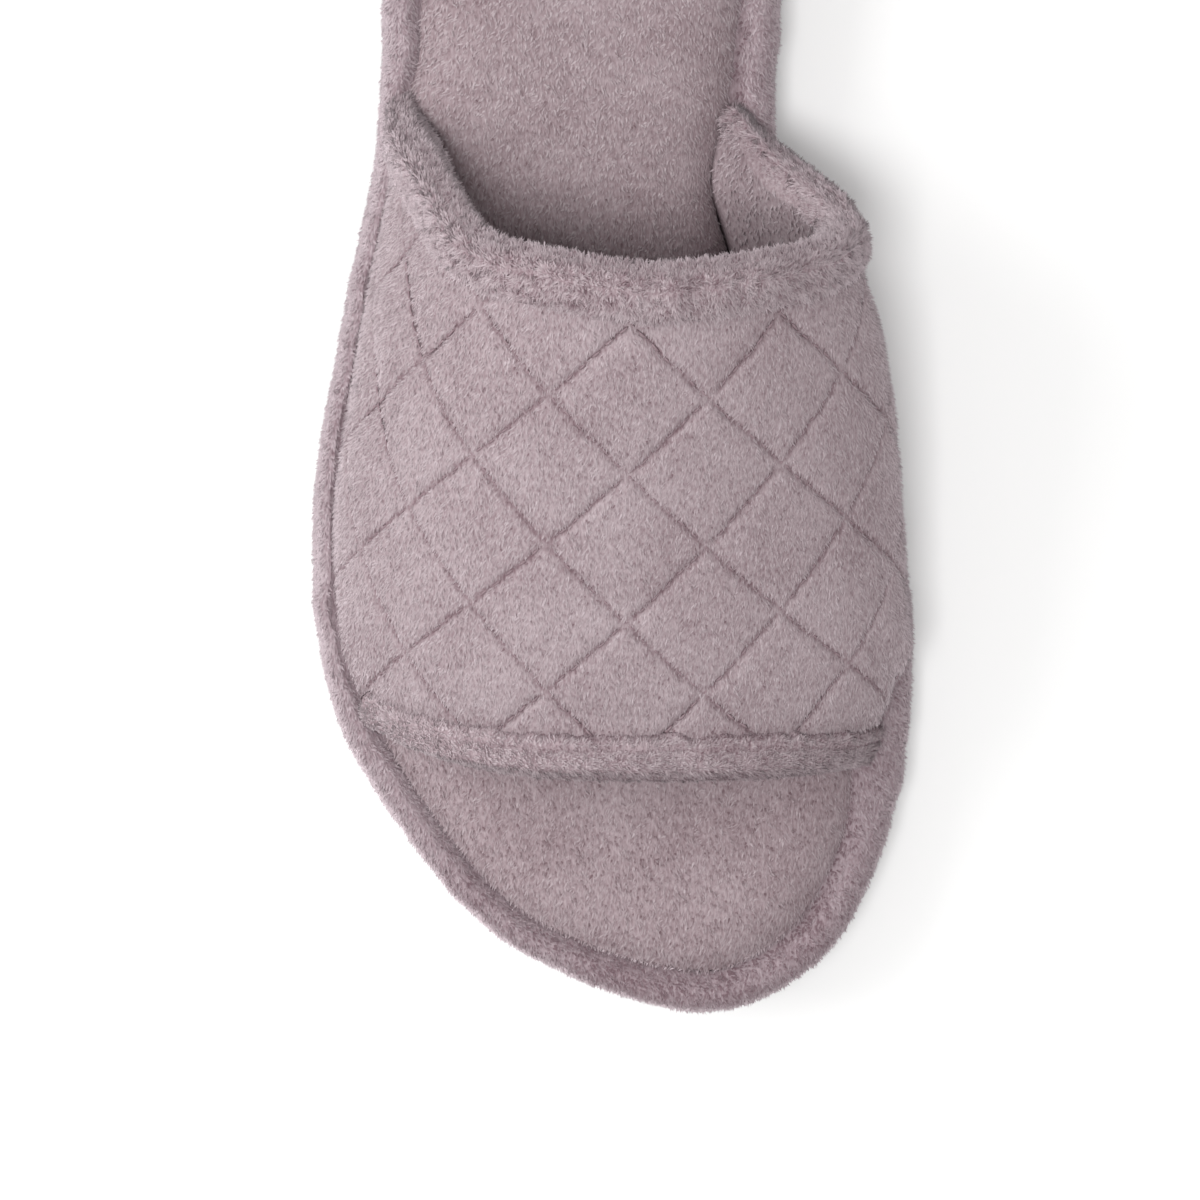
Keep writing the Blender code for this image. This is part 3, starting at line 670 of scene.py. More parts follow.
def pad_top(plan, from_edge):
    """Padded top: a soft border that flattens inwards, hollowed under the heel."""
    pad = PAD_EDGE + PAD_CROWN * (1.0 - np.exp(-from_edge / PAD_SOFTNESS))
    from_heel = np.hypot(plan[..., 0], plan[..., 1] - HEEL_CENTRE_Y)
    cup = HEEL_CUP * (1.0 - smooth_step(from_heel, 0.0, HEEL_CUP_RADIUS))
    return shelf_line(plan[..., 1]) + pad - cup - PILE_STAND


def pad_flank(side, further_in, height):
    """One line of the footbed's low side wall."""
    plan = edge(side, footbed_edge(side) + further_in)
    return lifted(plan, shelf_line(plan[:, 1]) + height)


FOOTBED_COLOURS = PileColours((0.162, 0.104, 0.115), (0.375, 0.3, 0.318), (0.51, 0.435, 0.455))
FOOTBED_NAP = Nap(length=1.05, width=0.5, lean=54.0, tousle=26.0, clump=3.0)
FOOTBED_TUFTS = 37000
FOOTBED_DRIFT = 0.17  # painted light: how much lighter the heel is than the toe
FOOTBED_DRIFT_Y = (-90.0, 60.0)
FOOTBED_COMB = np.array([-0.3, -1.0, 0.0])


def painted_heel_light(read):
    """Full tufts, painted lighter at the heel and as much darker at the toe, as light and shade along the
    foot.
    """
    return 1.0, FOOTBED_DRIFT * (smooth_step(read(pad_face)[:, 1], *FOOTBED_DRIFT_Y) - 0.5)


footbed_plush, footbed_ground = pile_cloth("footbed", FOOTBED_COLOURS)
pad_edges = [edge(side, footbed_edge(side)) for side in (BIG, LITTLE)]
pad_shares = (1 - np.cos(np.linspace(0.0, np.pi, PAD_COLUMNS + 1))) / 2
pad_plan = across(*pad_edges, pad_shares)
pad_grid = lifted(pad_plan, pad_top(pad_plan, distance_to(np.vstack(pad_edges), pad_plan)))
pad_face = pad_grid[1:-1]
flanks = [np.stack([pad_flank(side, *row) for row in PAD_SIDE], axis=1) for side in (BIG, LITTLE)]
footbed_points = np.concatenate([flanks[BIG], pad_grid, flanks[LITTLE][:, ::-1]], axis=1)
padded_footbed = closed_piece("padded_footbed", footbed_points, footbed_ground, GROUND_SHADE)
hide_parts("insole")
footbed_patches = [Patch(pad_face, 1, FOOTBED_COMB, FOOTBED_TUFTS, painted_heel_light)]
pile_piece("footbed_pile", footbed_patches, FOOTBED_NAP, 22, footbed_plush)

# Quilted vamp
# Face cloth, wadding and lining stitched together in diamonds and drawn over the last in one curved wall,
# caught in the sole crease on both sides. The stitch lines sink into the pile and the cells puff a little.

WALL = 4.0
SEAM_WALL = 2.6
SEAM_TAPER = 0.10  # share of the girth over which the wall grows to its full thickness
Section = namedtuple(
    "Section", "y peak_x peak_z little_lean little_rise little_flat big_lean big_rise big_flat"
)
# Each side climbs from the sole seam, leaning outwards by lean degrees, to the peak of the instep.
# rise is how straight it climbs, and flat how level it leaves the peak, as shares of height and width.
SECTIONS = (
    Section(-110.0, 3.0, 37.0, 4.0, 0.14, 0.78, -20.0, 0.58, 0.68),
    Section(-86.0, 2.0, 43.0, 6.0, 0.14, 0.785, -16.0, 0.58, 0.68),
    Section(-76.0, 1.4, 46.7, 6.0, 0.14, 0.8, 26.0, 0.58, 0.67),
    Section(-68.0, 0.9, 49.8, 5.5, 0.14, 0.815, 39.5, 0.58, 0.66),
    Section(-55.0, 0.5, 55.0, 5.0, 0.145, 0.845, 38.0, 0.58, 0.65),
    Section(-40.0, 0.0, 61.0, 6.0, 0.16, 0.88, 38.0, 0.58, 0.64),
    Section(-5.0, -1.0, 76.0, 11.0, 0.18, 0.89, 45.0, 0.58, 0.65),
    Section(10.0, -1.0, 80.0, 17.0, 0.17, 0.77, 42.0, 0.58, 0.65),
    Section(25.0, -1.0, 83.0, 21.0, 0.155, 0.67, 24.0, 0.58, 0.63),
    Section(50.0, -1.0, 85.0, 22.0, 0.15, 0.62, 20.0, 0.58, 0.63),
)
EdgePoint = namedtuple("EdgePoint", "place girth y")
# girth runs from the little-toe seam (0) over the instep (0.5) to the big-toe seam (1)
HEM_LINE = (
    EdgePoint("little-toe seam", 0.0, WALL_FRONT_Y[LITTLE]),
    EdgePoint("little-toe side", 0.25, -83.2),
    EdgePoint("over the toes", 0.5, -84.5),
    EdgePoint("big-toe side", 0.75, -84.5),
    EdgePoint("big-toe seam", 1.0, WALL_FRONT_Y[BIG]),
)
COLLAR_LINE = (
    EdgePoint("little-toe seam", 0.0, WALL_BACK_Y[LITTLE]),
    EdgePoint("little-toe wall", 0.125, 20.0),
    EdgePoint("little-toe shoulder", 0.25, 6.2),
    EdgePoint("little-toe side of the instep", 0.375, 1.5),
    EdgePoint("instep", 0.5, -0.8),
    EdgePoint("big-toe side of the instep", 0.625, 1.0),
    EdgePoint("big-toe shoulder", 0.75, 5.0),
    EdgePoint("big-toe wall", 0.875, 13.3),
    EdgePoint("big-toe seam", 1.0, WALL_BACK_Y[BIG]),
)
LITTLE_SPREAD = 0.5  # evens the girths out along the little-toe side, which climbs slowly at first
GIRTH_NUDGE = 1e-3  # steps for the face's rates of change
Y_NUDGE = 0.05
VAMP_GIRTHS = 240
VAMP_LENGTHS = 140
EVEN_AT_Y = -40.0  # the grid's girths lie at even lengths round this section
FINE_GIRTHS = 801  # places at which lengths on the face are measured
FINE_LENGTHS = 600
AROUND_STEPS = 25
QUILT_PITCH = 19.1  # between stitch lines
QUILT_DIAGONAL = QUILT_PITCH * np.sqrt(2.0)  # and along the foot
QUILT_BOW = 0.004  # how the flat cloth's rows bow towards the toe on the walls, per millimetre
QUILT_FROM_Y = -85.0
INSTEP_Y = (-105.0, 60.0)  # the instep is measured between these
FALLING_LINES = 2.92  # count of the lines from collar to big toe at the instep's front end
RISING_LINES = 5.16  # and of the lines from collar to little toe
PUFF = 0.7
PUFF_REACH = 4.0
STITCH_SINK = 0.75
STITCH_WIDTH = 0.42
STITCH_TONE = 0.28  # painted shade: how much darker the pile is in a stitch line's trough
STITCH_WANDER = 0.007  # how far a stitch line strays, as a share of the pitch
STITCH_CLEAR = 0.1  # between a tuft's tip and the stitch line in front of it
SHORTEST_TUFT = 0.25  # share of full length
CROSSING = (0.3, 1.9)  # a line fades between these distances from the line that it crosses
FALLING_KEPT = 0.6  # what the falling lines keep there, which are sewn last
TUCKED_AT = 7.5  # the face cloth goes under the hem's strip this far from its front edge
TUCKED_WIDTH = 0.9
# painted shade beside the hem's strip
TUCKED_TONE = 0.22
CAUGHT_GIRTH = (0.95, 0.985)  # the big-toe seam goes down into a crease at the hem's end
CAUGHT_Y = (-72.0, -58.0)
# painted shade in that crease
CAUGHT_TONE = 0.35
NAP_CLUMP = 1.8  # the nap of the big-toe side is rubbed up in clumps of this size
NAP_CLUMP_SEED = 51
NAP_CLUMP_X = (5.0, 35.0)
NAP_CLUMP_TONE = 0.06
WALL_LIGHT_X = (-48.0, -25.0, 0.0, 22.0, 42.0)
WALL_LIGHT_TONE = (0.08, 0.02, -0.02, 0.01, 0.08)  # painted light: both walls lighter towards their sides, a little darker over the top


def table_column(rows, field, where, by="y"):
    """A field of a table between its rows, which another field orders."""
    return read_between([getattr(r, by) for r in rows], [getattr(r, field) for r in rows], where)


def side_x(side, y):
    """Across position of the sole seam at y, on one side."""
    line = edge(side, seam_inset(side))
    order = np.argsort(line[:, 1])
    return np.interp(y, line[order, 1], line[order, 0])


def wall_point(girth, y):
    """A point of the vamp's outer face: each half section is one cubic from sole seam to peak."""
    girth, y = np.broadcast_arrays(np.asarray(girth, float), np.asarray(y, float))
    big = girth > 0.5
    climb = np.clip(2.0 * np.where(big, 1.0 - girth, girth), 0.0, 1.0)
    climb = climb + np.where(big, 0.0, LITTLE_SPREAD) * climb * (1.0 - climb)
    seam_x = np.where(big, side_x(BIG, y), side_x(LITTLE, y))
    seam_z = shelf_line(y) + GAP
    peak_x, peak_z = table_column(SECTIONS, "peak_x", y), table_column(SECTIONS, "peak_z", y)

    def either(field):
        fields = ("big_" + field, "little_" + field)
        return np.where(big, *[table_column(SECTIONS, name, y) for name in fields])

    reach = either("rise") * (peak_z - seam_z)
    outward = np.where(big, 1.0, -1.0) * np.tan(np.radians(either("lean")))
    x_knots = (seam_x, seam_x + outward * reach, peak_x + either("flat") * (seam_x - peak_x), peak_x)
    z_knots = (seam_z, seam_z + reach, peak_z, peak_z)
    weights = ((1 - climb) ** 3, 3 * climb * (1 - climb) ** 2, 3 * climb**2 * (1 - climb), climb**3)
    x = sum(w * k for w, k in zip(weights, x_knots))
    z = sum(w * k for w, k in zip(weights, z_knots))
    return np.stack([x, y, z], axis=-1)


def wall_slopes(girth, y):
    """Rates of change of the outer face along the girth and along the foot."""
    along_girth = wall_point(girth + GIRTH_NUDGE, y) - wall_point(girth - GIRTH_NUDGE, y)
    along_foot = wall_point(girth, y + Y_NUDGE) - wall_point(girth, y - Y_NUDGE)
    return along_girth / (2 * GIRTH_NUDGE), along_foot / (2 * Y_NUDGE)


def wall_normal(girth, y):
    """Outward direction of the outer face: the cross product of its two slopes."""
    along_girth, along_foot = wall_slopes(np.clip(girth, 2 * GIRTH_NUDGE, 1.0 - 2 * GIRTH_NUDGE), y)
    return unit(np.cross(along_girth, along_foot))


def wall_layer(girth, y, offset):
    """A point held off the vamp's outer face by offset, outwards if positive."""
    return wall_point(girth, y) + np.asarray(offset)[..., None] * wall_normal(girth, y)


def above_seams(girth):
    """0 at the two sole seams, rising to 1 over their taper."""
    return smooth_step(np.minimum(girth, 1.0 - girth), 0.0, SEAM_TAPER)


def wall_thickness(girth):
    """Thickness of the vamp's wall: less at the sole seams, and full above their taper."""
    return SEAM_WALL + (WALL - SEAM_WALL) * above_seams(girth)


def even_girths(count):
    """Girths at even lengths round one section."""
    fine = np.linspace(0.0, 1.0, FINE_GIRTHS)
    length = lengths_along(wall_point(fine, EVEN_AT_Y))
    return np.interp(np.linspace(0.0, length[-1], count), length, fine)


def cloth_lengths(girth, y):
    """Lengths in the flat cloth: round the section from the instep, and along the instep from the front."""
    shares = np.linspace(0.0, 1.0, AROUND_STEPS)
    points = np.stack([wall_point(0.5 + (girth - 0.5) * share, y) for share in shares])
    around = np.linalg.norm(np.diff(points, axis=0), axis=-1).sum(axis=0) * np.sign(girth - 0.5)
    fine_y = np.linspace(*INSTEP_Y, FINE_LENGTHS)
    length = lengths_along(wall_point(0.5, fine_y))
    return around, np.interp(y, fine_y, length) - np.interp(QUILT_FROM_Y, fine_y, length)


def quilt_counts(girth, y):
    """How many stitch lines lie between a point and the lines' start, falling and rising: a square grid
    on the diagonal of the flat cloth, whose rows bow with the square of the length round the section."""
    around, along = cloth_lengths(girth, y)
    level = along - QUILT_BOW * around**2
    counts = []
    for start, way, seed in ((FALLING_LINES, 1, 41), (RISING_LINES, -1, 42)):
        wander = STITCH_WANDER * soft_waves(level - way * around, seed, longest=31.0, shortest=5.0)
        counts.append(start - (level + way * around) / QUILT_DIAGONAL + wander)
    return counts


def from_line(count):
    """Distance to the nearest stitch line."""
    return np.abs(count - np.round(count)) * QUILT_PITCH


def in_line(falling, rising, softness=2.0):
    """1 on a stitch line, falling off to nothing beside it, and less where another line crosses."""
    near, far = from_line(falling), from_line(rising)
    falls = bell(near, STITCH_WIDTH, softness) * grown(FALLING_KEPT, far, *CROSSING)
    rises = bell(far, STITCH_WIDTH, softness) * smooth_step(near, *CROSSING)
    return np.maximum(falls, rises)


def quilt_relief(girth, falling, rising):
    """Height of the quilted face: sunk by a sharp trough at each stitch line, and towards a low puff
    inside each cell."""
    near, far = from_line(falling), from_line(rising)
    puff = PUFF * near / (near + PUFF_REACH) * far / (far + PUFF_REACH)
    sink = STITCH_SINK * in_line(falling, rising, softness=1.0)
    return (puff - sink) * above_seams(girth)


def beside_stitches(read):
    """No tuft reaches across the stitch line in front of it. The nap is painted darker as shade in the
    stitch lines, beside the hem and in the crease at the hem's end; both walls are painted lighter as
    light, and the big-toe side carries random clumps of tone."""
    counts, place = (read(falling), read(rising)), read(outer)
    ahead = np.minimum(*[(np.ceil(count) - count) * QUILT_DIAGONAL for count in counts])
    tucked = bell(read(y - hem_y) - TUCKED_AT, TUCKED_WIDTH)
    tone = np.interp(place[:, 0], WALL_LIGHT_X, WALL_LIGHT_TONE)
    tone = tone - STITCH_TONE * in_line(*counts) - TUCKED_TONE * tucked
    caught = smooth_step(read(girth), *CAUGHT_GIRTH) * (1.0 - smooth_step(read(y), *CAUGHT_Y))
    clumps = ripples(place, NAP_CLUMP, np.random.default_rng(NAP_CLUMP_SEED))[:, 0]
    tone = tone - CAUGHT_TONE * caught + NAP_CLUMP_TONE * clumps * smooth_step(place[:, 0], *NAP_CLUMP_X)
    return np.clip((ahead - STITCH_CLEAR) / VAMP_NAP.length, SHORTEST_TUFT, 1.0), tone


Crease = namedtuple("Crease", "place start end width depth")
# start and end as lengths round and along the flat cloth, from the middle of the hem
# a ridge has a depth below zero
CREASE_ENDS = 0.55  # share of the depth that is left at a crease's ends
CREASES = (
    Crease("pull towards the hem's big-toe end", (44.0, 22.0), (66.0, 8.0), 3.0, 0.9),
    Crease("ridge beside that pull", (48.0, 27.0), (68.0, 14.0), 3.0, -0.5),
    Crease("sag below the collar, little-toe side", (-58.0, 92.0), (-40.0, 78.0), 4.5, 0.9),
    Crease("second sag there", (-66.0, 78.0), (-52.0, 62.0), 4.0, 0.6),
    Crease("dip along the collar seam", (-24.0, 82.0), (26.0, 83.0), 5.0, 0.5),
    Crease("dip along the hem seam", (-40.0, 10.0), (42.0, 9.0), 3.5, 0.35),
)


def crease_relief(around, along):
    """Troughs and ridges of the worn-in cloth: bell-shaped by the distance to each crease's line, and lower
    towards its ends."""
    place = np.stack([around, along], axis=-1)
    relief = np.zeros(around.shape)
    for crease in CREASES:
        start, run = np.array(crease.start), np.array(crease.end) - np.array(crease.start)
        share = np.clip((place - start) @ run / (run @ run), 0.0, 1.0)
        aside = np.linalg.norm(place - start - share[..., None] * run, axis=-1)
        depth = crease.depth * (CREASE_ENDS + (1.0 - CREASE_ENDS) * np.sin(np.pi * share))
        relief -= depth * bell(aside, crease.width)
    return relief


VAMP_COLOURS = PileColours((0.175, 0.113, 0.127), (0.4, 0.327, 0.346), (0.54, 0.46, 0.487))
VAMP_NAP = Nap(length=0.9, width=0.42, lean=52.0, tousle=22.0, clump=2.6)
VAMP_TUFTS = 44000
VAMP_COMB = np.array([-0.25, -1.0, 0.0])
LINING_NAP = Nap(length=1.0, width=0.7, lean=54.0, tousle=28.0, clump=3.0)
LINING_TUFTS = 10000
LINING_ROLL_GIRTH = (0.82, 0.97)

vamp_plush, vamp_ground = pile_cloth("vamp", VAMP_COLOURS)
foot_shares = np.linspace(0.0, 1.0, VAMP_LENGTHS + 1)
share, girth = np.meshgrid(foot_shares, even_girths(VAMP_GIRTHS + 1), indexing="ij")
hem_y = table_column(HEM_LINE, "y", girth, by="girth")
collar_y = table_column(COLLAR_LINE, "y", girth, by="girth")
y = hem_y * (1 - share) + collar_y * share
falling, rising = quilt_counts(girth, y)
face = quilt_relief(girth, falling, rising) + crease_relief(*cloth_lengths(girth, y)) - PILE_STAND
outer = wall_layer(girth, y, face)
rolled = lining_roll(BIG, y) * smooth_step(girth, *LINING_ROLL_GIRTH)
inner = wall_layer(girth, y, -wall_thickness(girth) - rolled + PILE_STAND)
inner[:, [0, -1], 2] = outer[:, [0, -1], 2]
walls = np.concatenate([outer, inner[:, ::-1]], axis=1)
middle = np.concatenate([outer + inner, (outer + inner)[:, ::-1]], axis=1) / 2
vamp_points = np.concatenate([middle[:1], walls, middle[-1:]])
vamp_shade = np.full(vamp_points.shape[:2], GROUND_SHADE)
# painted shade in the troughs of the stitch lines
vamp_shade[1:-1, : VAMP_GIRTHS + 1] -= STITCH_TONE * in_line(falling, rising)
quilted_vamp = closed_piece("quilted_vamp", vamp_points, vamp_ground, vamp_shade)
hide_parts("upper")
vamp_patches = [Patch(outer, -1, VAMP_COMB, VAMP_TUFTS, beside_stitches)]
pile_piece("vamp_pile", vamp_patches, VAMP_NAP, 23, vamp_plush)
lining_patches = [Patch(inner[:, 1:-1], 1, VAMP_COMB, LINING_TUFTS, even_pile)]
pile_piece("lining_pile", lining_patches, LINING_NAP, 24, vamp_plush)

# Collar binding
# A band of longer, tousled plush folded over the vamp's back edge and sewn through, so it stands up as a
# soft roll round the opening and runs down to the sole on both sides.

PILE_CLOTH = 1.7
FoldRow = namedtuple("FoldRow", "place back layers skin")
# back is the distance from the vamp's edge, layers 0 on its outer and 1 on its inner face,
# and skin the share of the cloth's thickness beyond the clearance
COLLAR_FOLD = (
    FoldRow("outer hem", 8.2, 0, -0.90),
    FoldRow("outer hem top", 7.0, 0, 0.45),
    FoldRow("outer face", 4.2, 0, 1.05),
    FoldRow("outer turn", 0.6, 0, 0.95),
    FoldRow("roll", -1.8, 0.5, 0.00),
    FoldRow("inner turn", 0.6, 1, 0.75),
    FoldRow("inner face", 2.2, 1, 0.70),
    FoldRow("inner hem top", 3.9, 1, 0.50),
    FoldRow("inner hem", 4.7, 1, 0.00),
)
SLOT = (FoldRow("slot inside", -GAP, 1, 0.00), FoldRow("slot outside", -GAP, 0, 0.00))
OUTER_END = 0.004  # girth at which the outer cloth of a fold ends above the sole seam
INNER_END = 0.010  # and the inner cloth
END_SLANT = 0.006
BAND_STEPS = 190
FOLD_ROWS = 30
SWAYING_FROM = 5.0  # the outer hem's rows lie this far from the edge


def folded(line, towards_vamp, rows, sunk, lump, sway):
    """A fold round an edge of the vamp as a grid: steps along the edge by rows round the cloth. Each row
    lies along the vamp's own face, held off it by the cloth less what the pile adds, with a soft
    unevenness. The sewn outer hem sways by sway."""
    start = OUTER_END + END_SLANT
    girth = np.linspace(start, 1.0 - start, BAND_STEPS + 1)
    y = table_column(line, "y", girth, by="girth")
    along_girth, along_foot = wall_slopes(girth, y)
    tangent = unit(along_girth + along_foot * np.gradient(y, girth)[:, None])
    across_edge = np.cross(wall_normal(girth, y), tangent)
    across_edge *= towards_vamp * np.sign(np.sum(across_edge * along_foot, axis=1, keepdims=True))
    turn = np.linalg.pinv(np.stack([along_girth, along_foot], axis=2)) @ across_edge[:, :, None]
    columns = []
    for row in rows:
        lowest = OUTER_END + row.layers * (INNER_END - OUTER_END)
        back = row.back + sunk * (row.back < 0) + sway * (row.layers == 0) * (row.back > SWAYING_FROM)
        where = np.clip(girth + turn[:, 0, 0] * back, lowest, 1.0 - lowest)
        skin = row.skin * (PILE_CLOTH - sunk + lump) + GAP
        offset = skin - row.layers * (wall_thickness(where) + 2.0 * skin)
        columns.append(wall_layer(where, y + turn[:, 1, 0] * back, offset))
    return np.stack(columns, axis=1)


def folded_band(name, line, towards_vamp, rows, sunk, lump, sway, material):
    """A fold's visible cloth, and the closed piece that it makes with its hidden slot, each end drawn to
    its middle."""
    cloth = folded(line, towards_vamp, rows, sunk, lump, sway)
    points = np.concatenate([cloth, folded(line, towards_vamp, SLOT, 0.0, 0.0, 0.0)], axis=1)
    middles = np.broadcast_to(points.mean(axis=1, keepdims=True), points.shape)
    closed = np.concatenate([middles[:1], points, middles[-1:]])
    return cloth, closed_piece(name, closed, material, GROUND_SHADE)


BINDING_COLOURS = PileColours((0.171, 0.106, 0.122), (0.39, 0.312, 0.332), (0.55, 0.465, 0.49))
COLLAR_NAP = Nap(length=1.2, width=0.56, lean=42.0, tousle=52.0, clump=1.7)
COLLAR_TUFTS = 30000
COLLAR_STAND = 0.8  # the pile's height over its ground
COLLAR_LUMP = 0.3
COLLAR_LENGTH = 190.0  # for that unevenness
COLLAR_BARE = 2  # fold rows at the outer hem that carry no pile
COLLAR_PARTING = 9  # fold rows below this are combed down over the vamp, the others up over the edge
COLLAR_SHORT = 0.45  # share of the tufts' length at the inner hem
COLLAR_SHORT_ROWS = 6.0  # rows over which they lengthen
COLLAR_CLUMP = 2.2
COLLAR_CLUMP_SEED = 52
COLLAR_CLUMP_TONE = 0.08
COLLAR_TONE_X = (-40.0, -12.0, 20.0, 42.0)
COLLAR_TONE = (0.02, -0.07, 0.0, 0.18)  # painted shade in the middle and painted light on the big-toe side


def shorter_inside(read):
    """Tufts shorten towards the fold's inner hem; their tone is painted darker in the middle as shade and
    lighter on the big-toe side as light, with random clumps.
    """
    from_hem = read(np.broadcast_to(np.arange(FOLD_ROWS - COLLAR_BARE)[::-1], collar_face.shape[:2]))
    place = read(collar_face)
    clumps = ripples(place, COLLAR_CLUMP, np.random.default_rng(COLLAR_CLUMP_SEED))[:, 0]
    tone = np.interp(place[:, 0], COLLAR_TONE_X, COLLAR_TONE) + COLLAR_CLUMP_TONE * clumps
    return grown(COLLAR_SHORT, from_hem, 0.0, COLLAR_SHORT_ROWS), tone


binding_plush, binding_ground = pile_cloth("binding", BINDING_COLOURS)
collar_lump = COLLAR_LUMP * soft_waves(np.linspace(0.0, COLLAR_LENGTH, BAND_STEPS + 1), seed=31)
collar_rows = smooth_rows(COLLAR_FOLD, FOLD_ROWS)
collar_cloth, collar_band = folded_band(
    "collar_band", COLLAR_LINE, -1.0, collar_rows, COLLAR_STAND, collar_lump, 0.0, binding_ground
)
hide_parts("collar_binding")
collar_face = collar_cloth[:, COLLAR_BARE:]
over_the_edge = unit(np.gradient(collar_cloth, axis=1))
over_the_edge *= np.where(np.arange(FOLD_ROWS) < COLLAR_PARTING, -1.0, 1.0)[None, :, None]
over_the_edge = over_the_edge[:, COLLAR_BARE:]
collar_patches = [Patch(collar_face, 1, over_the_edge, COLLAR_TUFTS, shorter_inside)]
pile_piece("collar_pile", collar_patches, COLLAR_NAP, 25, binding_plush)

# Toe hem
# The vamp's front edge turned under a strip of the same plush and sewn twice along its back, with the
# pile combed along the strip. It rides over the toes just above the footbed.

TOE_FOLD = (
    FoldRow("outer hem", 7.2, 0, -2.00),
    FoldRow("outer hem top", 6.3, 0, 0.45),
    FoldRow("outer face", 3.6, 0, 1.00),
    FoldRow("outer turn", 0.4, 0, 0.90),
    FoldRow("roll", -2.7, 0.5, 0.00),
    FoldRow("inner turn", 0.6, 1, 0.90),
    FoldRow("inner hem top", 6.3, 1, 0.70),
    FoldRow("inner hem", 7.0, 1, 0.00),
)
HEM_NAP = Nap(length=1.15, width=0.48, lean=48.0, tousle=40.0, clump=2.2)
HEM_STAND = 0.7
HEM_TUFTS = 14000
HEM_LUMP = 0.25
HEM_LENGTH = 150.0  # for that unevenness
HEM_COMB = np.array([1.0, 0.8, 0.0])
HEM_SEAMS = np.array([6.9, 5.0])  # two rows of stitches, from the hem's front edge
HEM_SEAM_WIDTH = 0.42
# painted shade in the two seams
HEM_SEAM_TONE = 0.42
HEM_SEAM_X = (-42.0, -4.0)  # the rows sink out of sight in the pile towards the little-toe end
HEM_SEAM_FAINT = 0.25
HEM_SHORT = 0.6  # share of the tufts' length at that end
HEM_PILE_ROWS = slice(1, 22)  # rows of the fold that carry pile, from its back to under the front edge
HEM_OUTER_ROWS = 12  # of those, the ones that come forward over the outer face
HEM_SHEEN = 0.3  # the turned edge is rubbed, and its fibre ends lie flat
HEM_GROUND_SHEEN = 0.0
HEM_TURN = (-1.5, 1.5)  # the front edge turns under between these distances in front of it
# painted shade round the turned front edge
HEM_TURN_TONE = 0.22
HEM_SEWN_SHORT = 0.8  # how much shorter tufts are in a seam
HEM_TURN_SHORT = 0.4  # and round the front edge
HEM_TONE_X = (-42.0, -15.0, 25.0)
HEM_TONE = (0.32, 0.09, 0.0)  # painted light: lighter towards the little-toe end
HEM_SWAY = 0.3  # how far the sewn back edge strays
HEM_END_GIRTH = (0.91, 0.97)  # the big-toe end goes down into its crease
# painted shade where the big-toe end goes down into its crease
HEM_END_TONE = 0.45

hem_lengths = np.linspace(0.0, HEM_LENGTH, BAND_STEPS + 1)
hem_lump = HEM_LUMP * soft_waves(hem_lengths, seed=32)
hem_wander = HEM_SWAY * soft_waves(hem_lengths, seed=33, longest=26.0, shortest=4.0)
hem_rows = smooth_rows(TOE_FOLD, FOLD_ROWS)
hem_plush, hem_ground = pile_cloth("hem", BINDING_COLOURS, HEM_SHEEN, HEM_GROUND_SHEEN)
hem_cloth, hem_band = folded_band(
    "hem_band", HEM_LINE, 1.0, hem_rows, HEM_STAND, hem_lump, hem_wander, hem_ground
)
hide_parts("toe_binding")


def between_seams(read):
    """Tufts are short and painted dark as shade along the two seams at the back of the hem and round its
    front edge, painted dark as shade where its big-toe end goes down into the crease, painted lighter as
    light towards the other end, and short there."""
    back = read(np.broadcast_to(hem_backs, hem_face.shape[:2]))
    along = read(np.broadcast_to(np.linspace(0.0, 1.0, BAND_STEPS + 1)[:, None], hem_face.shape[:2]))
    from_seam = np.min(np.abs(back - HEM_SEAMS[:, None]), axis=0)
    x = read(hem_face)[:, 0]
    seen = grown(HEM_SEAM_FAINT, x, *HEM_SEAM_X)
    sewn = bell(from_seam, HEM_SEAM_WIDTH) * seen
    turned = smooth_step(-back, *HEM_TURN) * seen
    tone = np.interp(x, HEM_TONE_X, HEM_TONE) - HEM_SEAM_TONE * sewn - HEM_TURN_TONE * turned
    tone = tone - HEM_END_TONE * smooth_step(along, *HEM_END_GIRTH)
    short = (1.0 - HEM_SEWN_SHORT * sewn) * (1.0 - HEM_TURN_SHORT * turned)
    return short * grown(HEM_SHORT, x, *HEM_SEAM_X), tone


hem_face = hem_cloth[:, HEM_PILE_ROWS]
hem_backs = np.array([row.back for row in hem_rows])[HEM_PILE_ROWS]
hem_patches = [Patch(hem_face, -1, HEM_COMB, HEM_TUFTS, between_seams)]
pile_piece("hem_pile", hem_patches, HEM_NAP, 26, hem_plush)

# Sewing thread
# Spun thread a shade deeper than the cloth: lockstitches in the quilting lines of the vamp, and two rows
# along the back of the hem. Each stitch lies in its trough and dips into the cloth at both ends.

THREAD_RADIUS = 0.24
THREAD_STITCH = 2.5  # length of one stitch
THREAD_PITCH = 3.1  # from one stitch to the next
THREAD_DIP = 0.45  # how much lower a stitch's ends lie
THREAD_DEPTH = 0.35  # below the cloth's ground
THREAD_SIDES = 5
THREAD_SWELL = np.array([0.0, 0.85, 1.0, 0.85, 0.0])  # share of the radius along a stitch
THREAD_COLOUR = (0.245, 0.172, 0.19, 1.0)
SHORTEST_LINE = 5  # a stitch line of no more points than this carries no stitches


